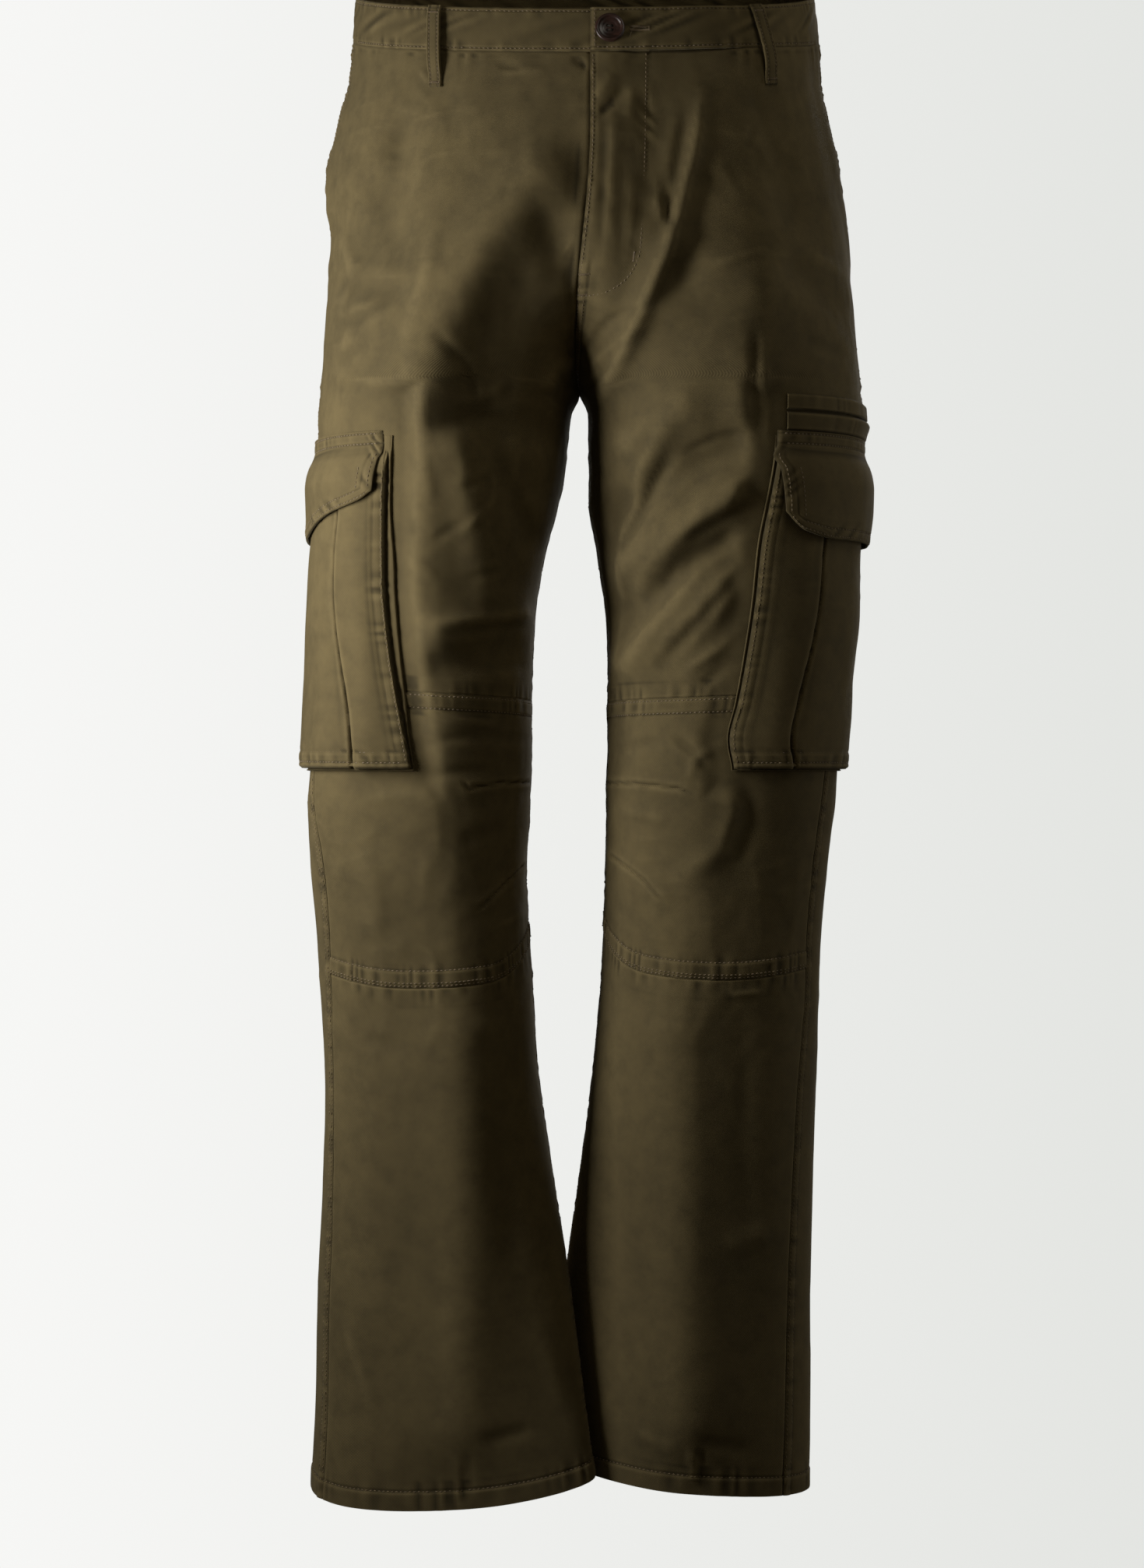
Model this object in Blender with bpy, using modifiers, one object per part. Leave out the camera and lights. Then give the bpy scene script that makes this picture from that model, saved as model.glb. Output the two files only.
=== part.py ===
"""Cargo trousers as worn, hollow: front, knee, shin and back panels for each leg, hip pocket
facings, bellows cargo pockets with flaps, a welt pocket, waistband, belt loops and button.

Metres, +Z up, the front faces -Y. The origin is the middle of the waist opening, at the height
of the waistband's top edge at the sides. "right" and "left" are the wearer's: right is -X.
"""

import math

import bmesh
import bpy
import numpy as np
from mathutils import Matrix, Vector

MM = 0.001
RIGHT, LEFT = -1, 1
SIDE_NAMES = {RIGHT: "right", LEFT: "left"}

# Cloth, and the gaps at seams and between layers
CLOTH = 1.5 * MM
HEM_CLOTH = 2.6 * MM
BAND_CLOTH = 3.0 * MM
SEAM_GAP = 0.4 * MM
LAY_GAP = 0.9 * MM
SQUARENESS = 0.08

# Levels, down from the waistband's top edge at the sides
BAND_SEAM = -33.0 * MM
CROTCH = -285.0 * MM
HEM = {RIGHT: -1062.0 * MM, LEFT: -1061.0 * MM}
HEM_DEPTH = 15.0 * MM

# The seat and hips as full sections: each half's edge from the middle plane, how far the
# half's ring has drawn apart from its twin (0 one ring, 1 two rings that touch), the foremost
# and rearmost points, the slope of the section towards the back, and the centre seam's place.
TORSO_COLUMNS = ("level", "right", "left", "share", "front", "back", "pitch", "middle")
TORSO = (
    (0, 163, 165, 0.00, -104, 108, 0.290, 4),
    (-33, 165, 168, 0.00, -109, 113, 0.262, 4),
    (-60, 167, 169, 0.00, -113, 118, 0.235, 4),
    (-90, 174.5, 175, 0.00, -117, 124, 0.205, 4),
    (-120, 182, 182, 0.02, -120, 130, 0.175, 3),
    (-150, 183, 186, 0.10, -123, 134, 0.145, 1),
    (-175, 180, 189, 0.27, -124, 137, 0.115, -1),
    (-200, 183, 191, 0.48, -124, 138, 0.088, -3),
    (-225, 185, 194, 0.68, -123, 138, 0.060, -5),
    (-250, 187, 196, 0.85, -120, 137, 0.032, -6),
    (-270, 188, 198, 0.95, -117, 134, 0.012, -5),
    (-281, 189, 199, 0.988, -115, 131, 0.003, -4),
    (-285, 189, 199, 1.00, -114, 130, 0.000, -3),
)

# Each leg: its outer and inner edges from the middle plane, its foremost and rearmost points,
# the slope towards the back, how much the inner edge rises over the outer one, how far the inner
# edge is carried forward (-) or back (+), and how much flatter the inner half is pressed.
LEG_COLUMNS = ("level", "outer", "inner", "front", "back", "pitch", "rise", "carry", "press")
RIGHT_LEG = (
    (-300, 190.5, 9, -111, 126, 0, 0, 0, 0.00),
    (-340, 190, 13, -105, 114, 0, 0, 0, 0.00),
    (-370, 187, 19, -101, 106, 0, 0, 0, 0.00),
    (-400, 188, 27, -97, 99, 0, 0, 0, 0.00),
    (-450, 190, 35, -93, 90, 0, 0, 0, 0.00),
    (-500, 191.5, 37, -89, 80, 0, 0, 0, 0.00),
    (-550, 195.5, 37.5, -85, 70, 0, 0, 0, 0.00),
    (-585, 198, 38.5, -81, 66, 0, 0, 0, 0.00),
    (-620, 196, 41, -77, 65, 0, 0, 0, 0.00),
    (-680, 191, 39, -71, 70, 0, 1, 0, 0.00),
    (-760, 187, 34, -66, 79, 0, 3, -1, 0.04),
    (-850, 188, 22, -62, 78, 0.03, 7, -8, 0.15),
    (-930, 192, 10, -60, 71, 0.10, 9, -19, 0.28),
    (-1000, 193, 1, -59, 64, 0.18, 11, -29, 0.38),
    (-1062, 196, -8, -58, 58, 0.25, 12, -38, 0.45),
)
LEFT_LEG = (
    (-300, 200.5, 3, -111, 126, 0, 0, 0, 0.00),
    (-340, 198.5, 3.5, -105, 114, 0, 0, 0, 0.00),
    (-370, 195, 3.5, -101, 106, 0, 0, 0, 0.00),
    (-400, 191, 9, -97, 99, 0, 0, 0, 0.00),
    (-450, 189, 17, -93, 90, 0, 0, 0, 0.00),
    (-500, 184, 18, -89, 80, 0, 0, 0, 0.00),
    (-565, 181, 17, -83, 67, 0, 0, 0, 0.00),
    (-620, 175, 16, -77, 65, 0, 0, 0, 0.00),
    (-680, 170, 14, -71, 70, 0, 1, 0, 0.00),
    (-760, 168, 8, -65, 79, 0, 3, 1, 0.04),
    (-850, 165, -3, -61, 78, 0, 6, 8, 0.15),
    (-930, 163, -14, -58, 70, 0.02, 10, 19, 0.28),
    (-1000, 163, -24, -56, 62, 0.04, 14, 29, 0.38),
    (-1062, 162, -33, -54, 56, 0.08, 17, 38, 0.45),
)
LEGS = {RIGHT: RIGHT_LEG, LEFT: LEFT_LEG}

# Where the side seams run, in degrees forward of each section's outer edge
SEAM_COLUMNS = ("level", "right", "left")
SIDE_SEAM = (
    (0, -24, -24),
    (-33, -23, -23),
    (-90, -17, -17),
    (-145, -10, -10),
    (-200, -4, -4),
    (-300, 3, 4),
    (-400, 9, 12),
    (-500, 17, 24),
    (-565, 24, 33),
    (-640, 35, 35),
    (-700, 32, 34),
    (-790, 29, 39),
    (-900, 30, 40),
    (-1076, 28, 41),
)
MOUTH_COLUMNS = ("level", "angle")
POCKET_MOUTH = ((0, 7), (-33, 6), (-90, 4), (-145, 1), (-195, -4))
MOUTH_END = -195.0 * MM
FACING_ROWS = (-50, -70, -90, -110, -130, -150, -170, -182)
FACING_TUCK = 8.0 * MM
# A front's edge stands off what it laps over, by less and less away from the edge
EDGE_LIFT = CLOTH + 0.7 * MM
EDGE_LIFT_FLAT = 12.0 * MM
EDGE_LIFT_REACH = 36.0 * MM

# Fly: the left front laps over the right one down to its tack
FLY_END = -196.0 * MM
FLY_FADE = 22.0 * MM
FLY_TUCK = 8.0 * MM

# Knee seams: the level at places from the side seam (0) to the inseam (1)
KNEE_COLUMNS = ("place", "upper", "lower")
KNEE_SEAMS = {
    RIGHT: (
        (0, -500, -700),
        (0.35, -501, -709),
        (0.62, -504, -706),
        (0.85, -506, -690),
        (1, -507, -676),
    ),
    LEFT: (
        (0, -501, -696),
        (0.35, -504, -703),
        (0.62, -506, -699),
        (0.85, -507, -683),
        (1, -508, -668),
    ),
}

# Levels of the rows of points between the seams
UPPER_ROWS = (
    -50, -70, -90, -110, -130, -150, -170, -190, -207, -224, -239, -252, -264, -275, -285,
    -294, -308, -324, -341, -358, -376, -394, -413, -433, -455, -478,
)
SEAM_BLEND_TOP = -360.0 * MM
KNEE_BANDS = 6
SHIN_BANDS = 12
FRONT_COLUMNS = 18
FRONT_EDGE_PLACE = 0.04
LOWER_COLUMNS = 11
BACK_COLUMNS = 10

# Largest folds: side, face (1 front, -1 back), width, height, then x and z of the points
# of the line that each follows. A negative height is a trough.
FOLDS = (
    (LEFT, 1, 14, 3.0, (77, -93), (61, -181), (56, -200)),
    (LEFT, 1, 12, 6.5, (58, -194), (42, -233), (20, -280)),
    (LEFT, 1, 12, -2.0, (50, -108), (44, -170)),
    (LEFT, 1, 13, -4.5, (82, -158), (74, -192), (66, -218)),
    (LEFT, 1, 40, 8.0, (124, -78), (128, -150), (122, -200)),
    (LEFT, 1, 24, 4.5, (118, -234), (115, -270), (118, -327)),
    (LEFT, 1, 14, 5.0, (66, -308), (34, -326)),
    (LEFT, 1, 15, -8.0, (104, -334), (30, -372)),
    (LEFT, 1, 14, 6.0, (104, -368), (30, -412)),
    (LEFT, 1, 13, -6.0, (100, -402), (32, -443)),
    (LEFT, 1, 15, 6.0, (98, -436), (32, -480)),
    (LEFT, 1, 12, -4.5, (146, -212), (186, -234)),
    (LEFT, 1, 15, -4.5, (122, -96), (142, -170)),
    (RIGHT, 1, 26, -4.5, (-30, -188), (-42, -222), (-56, -254), (-60, -304)),
    (RIGHT, 1, 24, 9.0, (-34, -152), (-52, -180), (-88, -221), (-105, -268), (-114, -298)),
    (RIGHT, 1, 12, -6.0, (-102, -312), (-27, -316)),
    (RIGHT, 1, 12, -5.0, (-58, -330), (-36, -390)),
    (RIGHT, 1, 15, 5.0, (-86, -335), (-66, -430)),
    (RIGHT, 1, 12, 4.0, (-100, -458), (-42, -446)),
    (RIGHT, 1, 13, -3.5, (-100, -484), (-48, -472)),
    (RIGHT, 1, 14, -4.5, (-128, -116), (-152, -195)),
    (RIGHT, 1, 11, -4.5, (-180, -214), (-132, -226)),
    (RIGHT, 1, 32, 6.5, (-86, -745), (-86, -850), (-88, -1010)),
    (LEFT, 1, 32, 6.5, (66, -740), (68, -850), (76, -1010)),
    (LEFT, -1, 15, -6.5, (28, -292), (120, -330)),
    (LEFT, -1, 16, 5.0, (34, -328), (130, -385)),
    (LEFT, -1, 13, -6.0, (40, -556), (150, -572)),
    (LEFT, -1, 13, 5.0, (42, -600), (150, -594)),
    (LEFT, -1, 13, -5.0, (40, -640), (140, -652)),
    (LEFT, -1, 22, 4.0, (25, -205), (110, -262)),
    (RIGHT, -1, 15, -6.5, (-30, -296), (-125, -336)),
    (RIGHT, -1, 16, 5.0, (-40, -336), (-130, -398)),
    (RIGHT, -1, 13, -6.0, (-55, -566), (-165, -580)),
    (RIGHT, -1, 13, 5.0, (-58, -608), (-170, -604)),
    (RIGHT, -1, 13, -5.0, (-56, -646), (-160, -660)),
    (RIGHT, -1, 22, 4.0, (-28, -198), (-112, -255)),
)
FOLD_FADE_REACH = 16.0 * MM
MIDDLE_FADE_REACH = 18.0 * MM
POCKET_RADIUS = 90.0 * MM
POCKET_CLEAR = 9.0 * MM
POCKET_ABOVE = -300.0 * MM

# Waistband: its end laps over its start, under the button
BAND_LIFT = 1.0 * MM
BAND_LAP_LIFT = BAND_LIFT + BAND_CLOTH + SEAM_GAP
BAND_UNDERLAP_ANGLE = 14.0
BAND_RAMP_START = 40.0
BAND_RAMP_END = 24.0
BAND_STEPS = 68

# Belt loops: name, side, angle at the top and at the foot
LOOPS = (
    ("belt_loop_front_right", RIGHT, 52.5, 53.5),
    ("belt_loop_front_left", LEFT, 47.5, 44.5),
    ("belt_loop_side_right", RIGHT, -34.0, -34.0),
    ("belt_loop_side_left", LEFT, -34.0, -34.0),
    ("belt_loop_back", RIGHT, -90.0, -90.0),
)
LOOP_WIDTH = 10.0 * MM
LOOP_CLOTH = 1.6 * MM
LOOP_COLUMNS = ("level", "clear")
LOOP_PATH = (
    (-61, 0.5),
    (-55, 0.6),
    (-50, 1.8),
    (-45, 3.6),
    (-38, 5.0),
    (-28, 5.6),
    (-17, 5.6),
    (-8, 4.8),
    (-4, 3.4),
    (-2, 1.8),
    (0, 1.5),
)

# Button on the band's lap. Its profile is in shares of the radius and the thickness.
BUTTON_RADIUS = 10.3 * MM
BUTTON_THICKNESS = 3.4 * MM
BUTTON_HOLE_RADIUS = 0.9 * MM
BUTTON_HOLE_SPREAD = 2.1 * MM
BUTTON_X = 17.5 * MM
BUTTON_LEVEL = -15.5 * MM
BUTTON_STEPS = 28
BUTTON_PROFILE = (
    (0.0, 0.45),
    (0.45, 0.45),
    (0.50, 0.60),
    (0.70, 0.66),
    (0.78, 0.94),
    (0.88, 1.00),
    (0.97, 0.86),
    (1.00, 0.60),
    (0.93, 0.18),
    (0.70, 0.00),
    (0.00, 0.00),
)

# Cargo pockets. x is where the front edge lies from the middle plane at that level.
BAG_COLUMNS = ("level", "front_x")
BAG_FRONT_EDGE = {
    RIGHT: (
        (-339, 137),
        (-356, 135),
        (-400, 136.5),
        (-425, 136.5),
        (-450, 135),
        (-475, 132.5),
        (-500, 129),
        (-530, 124),
        (-554, 120),
    ),
    LEFT: (
        (-339, 134),
        (-370, 127.5),
        (-400, 122),
        (-440, 118),
        (-480, 112),
        (-510, 106.5),
        (-535, 101),
        (-554, 104),
    ),
}
BAG_REAR_ANGLE = -62.0
BAG_TOP_COLUMNS = ("level", "lift")
BAG_TOP_ROWS = ((-339, 2.5), (-347, 5.6), (-356, 7.2))
BAG_BOTTOM = -555.0 * MM
BAG_LIFT_EDGE = 7.2 * MM
BAG_EDGE_SHARE = 0.12
BAG_LIFT_COLUMNS = ("down", "lift")
BAG_LIFT = ((0, 7.2), (0.2, 8.4), (0.5, 9.2), (0.85, 8.4), (1, 7.2))
BAG_BANDS = 8
BAG_PLACES = (0, 0.09, 0.17, 0.25, 0.33, 0.45, 0.56, 0.67, 0.76, 0.85, 0.93, 1)
PLEAT_PLACES = (0.17, 0.85)
PLEAT_WIDTH = 0.045
PLEAT_DEPTH = 2.6 * MM
# Each row: inset at the sides, inset at the bottom, lift of the outer and of the inner face, in mm
GUSSET_PROFILE = (
    (-5.0, -2.5, 2.1, 0.9),
    (1.4, 1.4, 2.1, 0.9),
    (1.6, 1.6, 4.6, 0.9),
)
GUSSET_UPSTAND = 1.4 * MM
GUSSET_TOP = -344.0 * MM
GUSSET_TOP_MIDDLE = -349.5 * MM
GUSSET_STEPS = 10
GUSSET_BOTTOM_STEPS = 13

# Flaps: the lower edge's level at places from the rear end (0) to the front end (1)
FLAP_COLUMNS = ("place", "lower")
FLAP_EDGES = {
    RIGHT: (
        (0, -368),
        (0.12, -374),
        (0.42, -394),
        (0.6, -391),
        (0.8, -378),
        (0.96, -368),
        (1, -362),
    ),
    LEFT: (
        (0, -374),
        (0.08, -388),
        (0.3, -394),
        (0.6, -394),
        (0.85, -394),
        (0.95, -389),
        (1, -376),
    ),
}
FLAP_FRONT_COLUMNS = ("level", "front_x")
FLAP_FRONT = {
    RIGHT: (
        (-321, 142),
        (-329, 142),
        (-335.5, 138),
        (-341, 140.5),
        (-359, 142),
        (-372, 143.5),
    ),
    LEFT: (
        (-321, 133.5),
        (-331, 133),
        (-339, 131),
        (-347, 133.4),
        (-368, 135.5),
        (-380, 136),
        (-397, 141),
    ),
}
FLAP_REAR_ANGLE = -66.0
FLAP_CLOTH = 2.2 * MM
FLAP_ROW_COLUMNS = ("level", "clear")
FLAP_ROWS = ((-330, 1.6), (-339, 3.6), (-346, 7.0), (-352, 9.0))
FLAP_CLEAR_LOW = 12.0 * MM
FLAP_STEPS = 12
FLAP_LOWER_BANDS = 3

# Welts of the small pocket above the left cargo pocket
WELT_FRONT_X = 140.0 * MM
WELT_REAR_ANGLE = -38.0
WELT_UPPER = (-296.0 * MM, -306.5 * MM)
WELT_LOWER = (-309.0 * MM, -321.0 * MM)
WELT_CLOTH = 1.8 * MM
WELT_LIFT = WELT_CLOTH + LAY_GAP
WELT_POUTS = {"upper": (0.1, 0.35, 0.4), "lower": (1.0, 0.8, 0.2)}
WELT_POUT = 3.2 * MM
WELT_STEPS = 12

TWILL = (0.118, 0.098, 0.052)
TWILL_DARK = (0.092, 0.076, 0.040)
BUTTON_BROWN = (0.016, 0.010, 0.008)


# ---- Tables and sections ----------------------------------------------------------------


def columns(table, names):
    """A table's columns by name, as arrays. Level and sizes stay in the table's unit."""
    values = np.array(table, float).T
    return dict(zip(names, values))


def curve(places, values, at):
    """A smooth line through the rows that never swings past them, read at the places given."""
    order = np.argsort(places)
    places = np.asarray(places, float)[order]
    values = np.asarray(values, float)[order]
    steps = np.diff(places)
    slopes = np.diff(values) / steps
    tangents = np.concatenate([slopes[:1], np.zeros(len(slopes) - 1), slopes[-1:]])
    same_way = slopes[:-1] * slopes[1:] > 0
    product = 2 * slopes[:-1] * slopes[1:]
    total = np.where(same_way, slopes[:-1] + slopes[1:], 1)
    tangents[1:-1] = np.where(same_way, product / total, 0)
    at = np.clip(at, places[0], places[-1])
    row = np.clip(np.searchsorted(places, at, side="right") - 1, 0, len(steps) - 1)
    t = (at - places[row]) / steps[row]
    start = values[row] * (1 + 2 * t) * (1 - t) ** 2
    end = values[row + 1] * t**2 * (3 - 2 * t)
    leave = tangents[row] * steps[row] * t * (1 - t) ** 2
    arrive = tangents[row + 1] * steps[row] * t**2 * (t - 1)
    return start + end + leave + arrive


def fade(value, low, high):
    """0 at low, 1 at high, with soft ends."""
    t = np.clip((value - low) / (high - low), 0, 1)
    return t * t * (3 - 2 * t)


def ring_table(side):
    """Rows of level, centre, half width, middle depth, half depth, slopes and shape for a half."""
    torso = columns(TORSO, TORSO_COLUMNS)
    edge = torso["right"] + torso["middle"] if side == RIGHT else torso["left"] - torso["middle"]
    half_gap = SEAM_GAP / 2 / MM
    reach = edge - half_gap
    half_width = reach / (1 + torso["share"])
    centre = torso["middle"] + side * (edge - half_width)
    leg = columns(LEGS[side], LEG_COLUMNS)
    none = np.zeros(len(TORSO))
    level = np.concatenate([torso["level"], leg["level"]])
    front = np.concatenate([torso["front"], leg["front"]])
    back = np.concatenate([torso["back"], leg["back"]])
    return {
        "level": level * MM,
        "centre": np.concatenate([centre, side * (leg["outer"] + leg["inner"]) / 2]) * MM,
        "half_width": np.concatenate([half_width, (leg["outer"] - leg["inner"]) / 2]) * MM,
        "depth": (front + back) / 2 * MM,
        "half_depth": (back - front) / 2 * MM,
        "pitch": np.concatenate([torso["pitch"], leg["pitch"]]),
        "rise": np.concatenate([none, leg["rise"]]) * MM,
        "carry": np.concatenate([none, leg["carry"]]) * MM,
        "press": np.concatenate([none, leg["press"]]),
    }


RINGS = {side: ring_table(side) for side in (RIGHT, LEFT)}


def section(side, level):
    """The ring of one half at each level."""
    rings = RINGS[side]
    return {name: curve(rings["level"], rings[name], level) for name in rings if name != "level"}


def middle_at(level):
    torso = columns(TORSO, TORSO_COLUMNS)
    return curve(torso["level"] * MM, torso["middle"] * MM, level)


def base_point(side, angle, level):
    """A point of the smooth outer form. The angle is 0 at the outer edge, 90 degrees in front."""
    ring = section(side, level)
    across = np.cos(angle) * (1 + SQUARENESS * np.sin(angle) ** 2)
    forward = np.sin(angle) * (1 + SQUARENESS * np.cos(angle) ** 2)
    inward = np.clip(-across, 0, 1)
    x = ring["centre"] + side * ring["half_width"] * across
    y = ring["depth"] - ring["half_depth"] * forward * (1 - ring["press"] * inward**2)
    z = level + ring["pitch"] * y - ring["rise"] * across / 2
    y = y + ring["carry"] * inward**1.5
    return np.stack([x, y, z], axis=-1)


def base_normal(side, angle, level):
    """The outward direction of the smooth form."""
    around = base_point(side, angle + 1e-3, level) - base_point(side, angle - 1e-3, level)
    down = base_point(side, angle, level - MM) - base_point(side, angle, level + MM)
    normal = np.cross(around, down) * side
    return normal / np.linalg.norm(normal, axis=-1, keepdims=True)


def angle_speed(side, angle, level):
    """Metres of cloth around the ring for each radian."""
    ends = base_point(side, angle + 1e-3, level) - base_point(side, angle - 1e-3, level)
    return np.linalg.norm(ends, axis=-1) / 2e-3


def angle_at(side, level, x):
    """The angle in front where the form passes x."""
    ring = section(side, level)
    across = np.clip(side * (x - ring["centre"]) / ring["half_width"], -1, 1)
    angle = np.arccos(across)
    for _ in range(12):
        angle = np.arccos(np.clip(across / (1 + SQUARENESS * np.sin(angle) ** 2), -1, 1))
    return angle


# ---- Folds ------------------------------------------------------------------------------


def line_distance(x, z, path):
    """How far each point lies from the line through the path, seen from the front."""
    nearest = np.full(np.shape(x), np.inf)
    for (x0, z0), (x1, z1) in zip(path, path[1:]):
        run = np.array([x1 - x0, z1 - z0])
        along = ((x - x0) * run[0] + (z - z0) * run[1]) / (run @ run)
        along = np.clip(along, 0, 1)
        nearest = np.minimum(nearest, np.hypot(x - x0 - along * run[0], z - z0 - along * run[1]))
    return nearest


def fold_height(side, angle, level, points, normals):
    """How far the folds push each point out."""
    x = points[..., 0] / MM
    z = points[..., 2] / MM
    height = np.zeros_like(x)
    for fold_side, face, width, rise, *path in FOLDS:
        if fold_side != side:
            continue
        facing = fade(-face * normals[..., 1], 0.05, 0.6)
        distance = line_distance(x, z, path)
        height += rise * np.exp(-((distance / width) ** 2)) * facing
    from_middle = np.abs(points[..., 0] - middle_at(level))
    room = fade(from_middle, 0, MIDDLE_FADE_REACH)
    return height * room * pocket_room(side, angle, level) * MM


def pocket_room(side, angle, level):
    """0 under the cargo pocket, where the leg lies smooth, and 1 clear of it."""
    front = bag_angle(side, level, 1.0)
    rear = math.radians(BAG_REAR_ANGLE)
    beyond = np.maximum(angle - front, rear - angle) * POCKET_RADIUS
    across = fade(beyond, POCKET_CLEAR, POCKET_CLEAR + FOLD_FADE_REACH)
    above = fade(level, POCKET_ABOVE, POCKET_ABOVE + FOLD_FADE_REACH)
    below = fade(-level, -BAG_BOTTOM + POCKET_CLEAR, -BAG_BOTTOM + POCKET_CLEAR + FOLD_FADE_REACH)
    return np.maximum(across, np.maximum(above, below))


def cloth_points(side, angle, level, lift):
    """Points of the folded cloth, moved out of the form by the lift."""
    angle, level, lift = np.broadcast_arrays(angle, level, lift)
    points = base_point(side, angle, level)
    normals = base_normal(side, angle, level)
    height = fold_height(side, angle, level, points, normals) + lift
    return points + normals * height[..., None]


# ---- Edges of the panels ------------------------------------------------------------------


def seam_angle(side, level):
    """The side seam."""
    seam = columns(SIDE_SEAM, SEAM_COLUMNS)
    return np.radians(curve(seam["level"] * MM, seam[SIDE_NAMES[side]], level))


def mouth_angle(level):
    """The hip pocket's mouth, which ends on the side seam."""
    mouth = columns(POCKET_MOUTH, MOUTH_COLUMNS)
    return np.radians(curve(mouth["level"] * MM, mouth["angle"], level))


def front_outer_angle(side, level):
    seam = seam_angle(side, level)
    return np.where(level > MOUTH_END, np.maximum(mouth_angle(level), seam), seam)


def inner_angle(side, level):
    """The centre seam above the crotch, the inseam below it."""
    plane = middle_at(level) + side * SEAM_GAP / 2
    centre_seam = angle_at(side, level, plane)
    inseam = math.pi - SEAM_GAP / 2 / angle_speed(side, math.pi, level)
    return np.where(level > CROTCH, np.minimum(centre_seam, inseam), inseam)


def knee_level(side, place, which):
    seams = columns(KNEE_SEAMS[side], KNEE_COLUMNS)
    return curve(seams["place"], seams[which] * MM, place)


def trim(side, angle, level, width):
    """The angle moved forward round the ring by a width of cloth."""
    return angle + width / angle_speed(side, angle, level)


# ---- Meshes -------------------------------------------------------------------------------


def material(name, colour, roughness):
    finish = bpy.data.materials.new(name)
    finish.use_nodes = True
    shader = finish.node_tree.nodes["Principled BSDF"]
    shader.inputs["Base Color"].default_value = (*colour, 1)
    shader.inputs["Roughness"].default_value = roughness
    shader.inputs["Metallic"].default_value = 0
    finish.diffuse_color = (*colour, 1)
    return finish


def wall(name, outer, inner, colour=TWILL):
    """One closed cloth wall between two matching grids of points."""
    rows, places = outer.shape[:2]
    shell = bmesh.new()
    outside = [[shell.verts.new(point) for point in row] for row in outer]
    inside = [[shell.verts.new(point) for point in row] for row in inner]
    for grid in (outside, inside):
        for r in range(rows - 1):
            for c in range(places - 1):
                shell.faces.new((grid[r][c], grid[r][c + 1], grid[r + 1][c + 1], grid[r + 1][c]))
    rim = [(0, c) for c in range(places)]
    rim += [(r, places - 1) for r in range(1, rows)]
    rim += [(rows - 1, c) for c in range(places - 2, -1, -1)]
    rim += [(r, 0) for r in range(rows - 2, 0, -1)]
    for (r0, c0), (r1, c1) in zip(rim, rim[1:] + rim[:1]):
        shell.faces.new((outside[r0][c0], outside[r1][c1], inside[r1][c1], inside[r0][c0]))
    bmesh.ops.recalc_face_normals(shell, faces=shell.faces)
    mesh = bpy.data.meshes.new(name)
    shell.to_mesh(mesh)
    shell.free()
    mesh.shade_smooth()
    mesh.set_sharp_from_angle(angle=math.radians(50))
    mesh.materials.append(material(name, colour, 0.85))
    piece = bpy.data.objects.new(name, mesh)
    PARTS.objects.link(piece)
    return piece


def cloth_wall(name, side, angle, level, lift=0.0, thickness=CLOTH, colour=TWILL):
    """A wall whose outer face lies on the form, moved out by the lift."""
    outer = cloth_points(side, angle, level, lift)
    inner = cloth_points(side, angle, level, lift - thickness)
    return wall(name, outer, inner, colour)


# ---- Leg and seat panels ------------------------------------------------------------------


def seam_rows(side, places):
    """Levels of the rows of points above, over and below the knee, at the places across."""
    mean = knee_level(side, 0.0, "upper")
    rows = [np.full_like(places, BAND_SEAM - SEAM_GAP / 2)]
    for row in UPPER_ROWS:
        dip = (knee_level(side, places, "upper") - mean) * fade(row * MM, SEAM_BLEND_TOP, mean)
        rows.append(row * MM + dip)
    upper = knee_level(side, places, "upper")
    lower = knee_level(side, places, "lower")
    knee_rows = [upper + (lower - upper) * step / KNEE_BANDS for step in range(KNEE_BANDS + 1)]
    fold = HEM[side] + HEM_DEPTH
    shin_rows = [lower + (fold - lower) * step / SHIN_BANDS for step in range(SHIN_BANDS + 1)]
    return rows, knee_rows, shin_rows + [np.full_like(places, HEM[side])]


def front_grid(side, levels, places):
    """Angles of a front panel's points: from its outer edge to the centre seam or inseam."""
    outer = front_outer_angle(side, levels)
    outer = trim(side, outer, levels, SEAM_GAP / 2)
    inner = inner_angle(side, levels)
    return outer + (inner - outer) * places


def edge_lift(side, angle, level):
    """The lift of a front along its hip pocket mouth and, on the left one, along the fly."""
    mouth = front_outer_angle(side, level)
    from_mouth = np.abs(angle - mouth) * angle_speed(side, angle, level)
    open_mouth = fade(level, MOUTH_END - 12 * MM, MOUTH_END + 4 * MM)
    lift = EDGE_LIFT * open_mouth * (1 - fade(from_mouth, EDGE_LIFT_FLAT, EDGE_LIFT_REACH))
    if side == LEFT:
        from_fly = np.abs(inner_angle(side, level) - angle) * angle_speed(side, angle, level)
        fly = fade(level, FLY_END - FLY_FADE, FLY_END)
        lift = lift + EDGE_LIFT * fly * (1 - fade(from_fly, EDGE_LIFT_FLAT, EDGE_LIFT_REACH))
    return lift


def front_places():
    """Even places across the front, with a narrow strip along each edge."""
    middle = np.linspace(2 * FRONT_EDGE_PLACE, 1 - 2 * FRONT_EDGE_PLACE, FRONT_COLUMNS)
    return np.concatenate([[0, FRONT_EDGE_PLACE], middle, [1 - FRONT_EDGE_PLACE, 1]])


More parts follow.
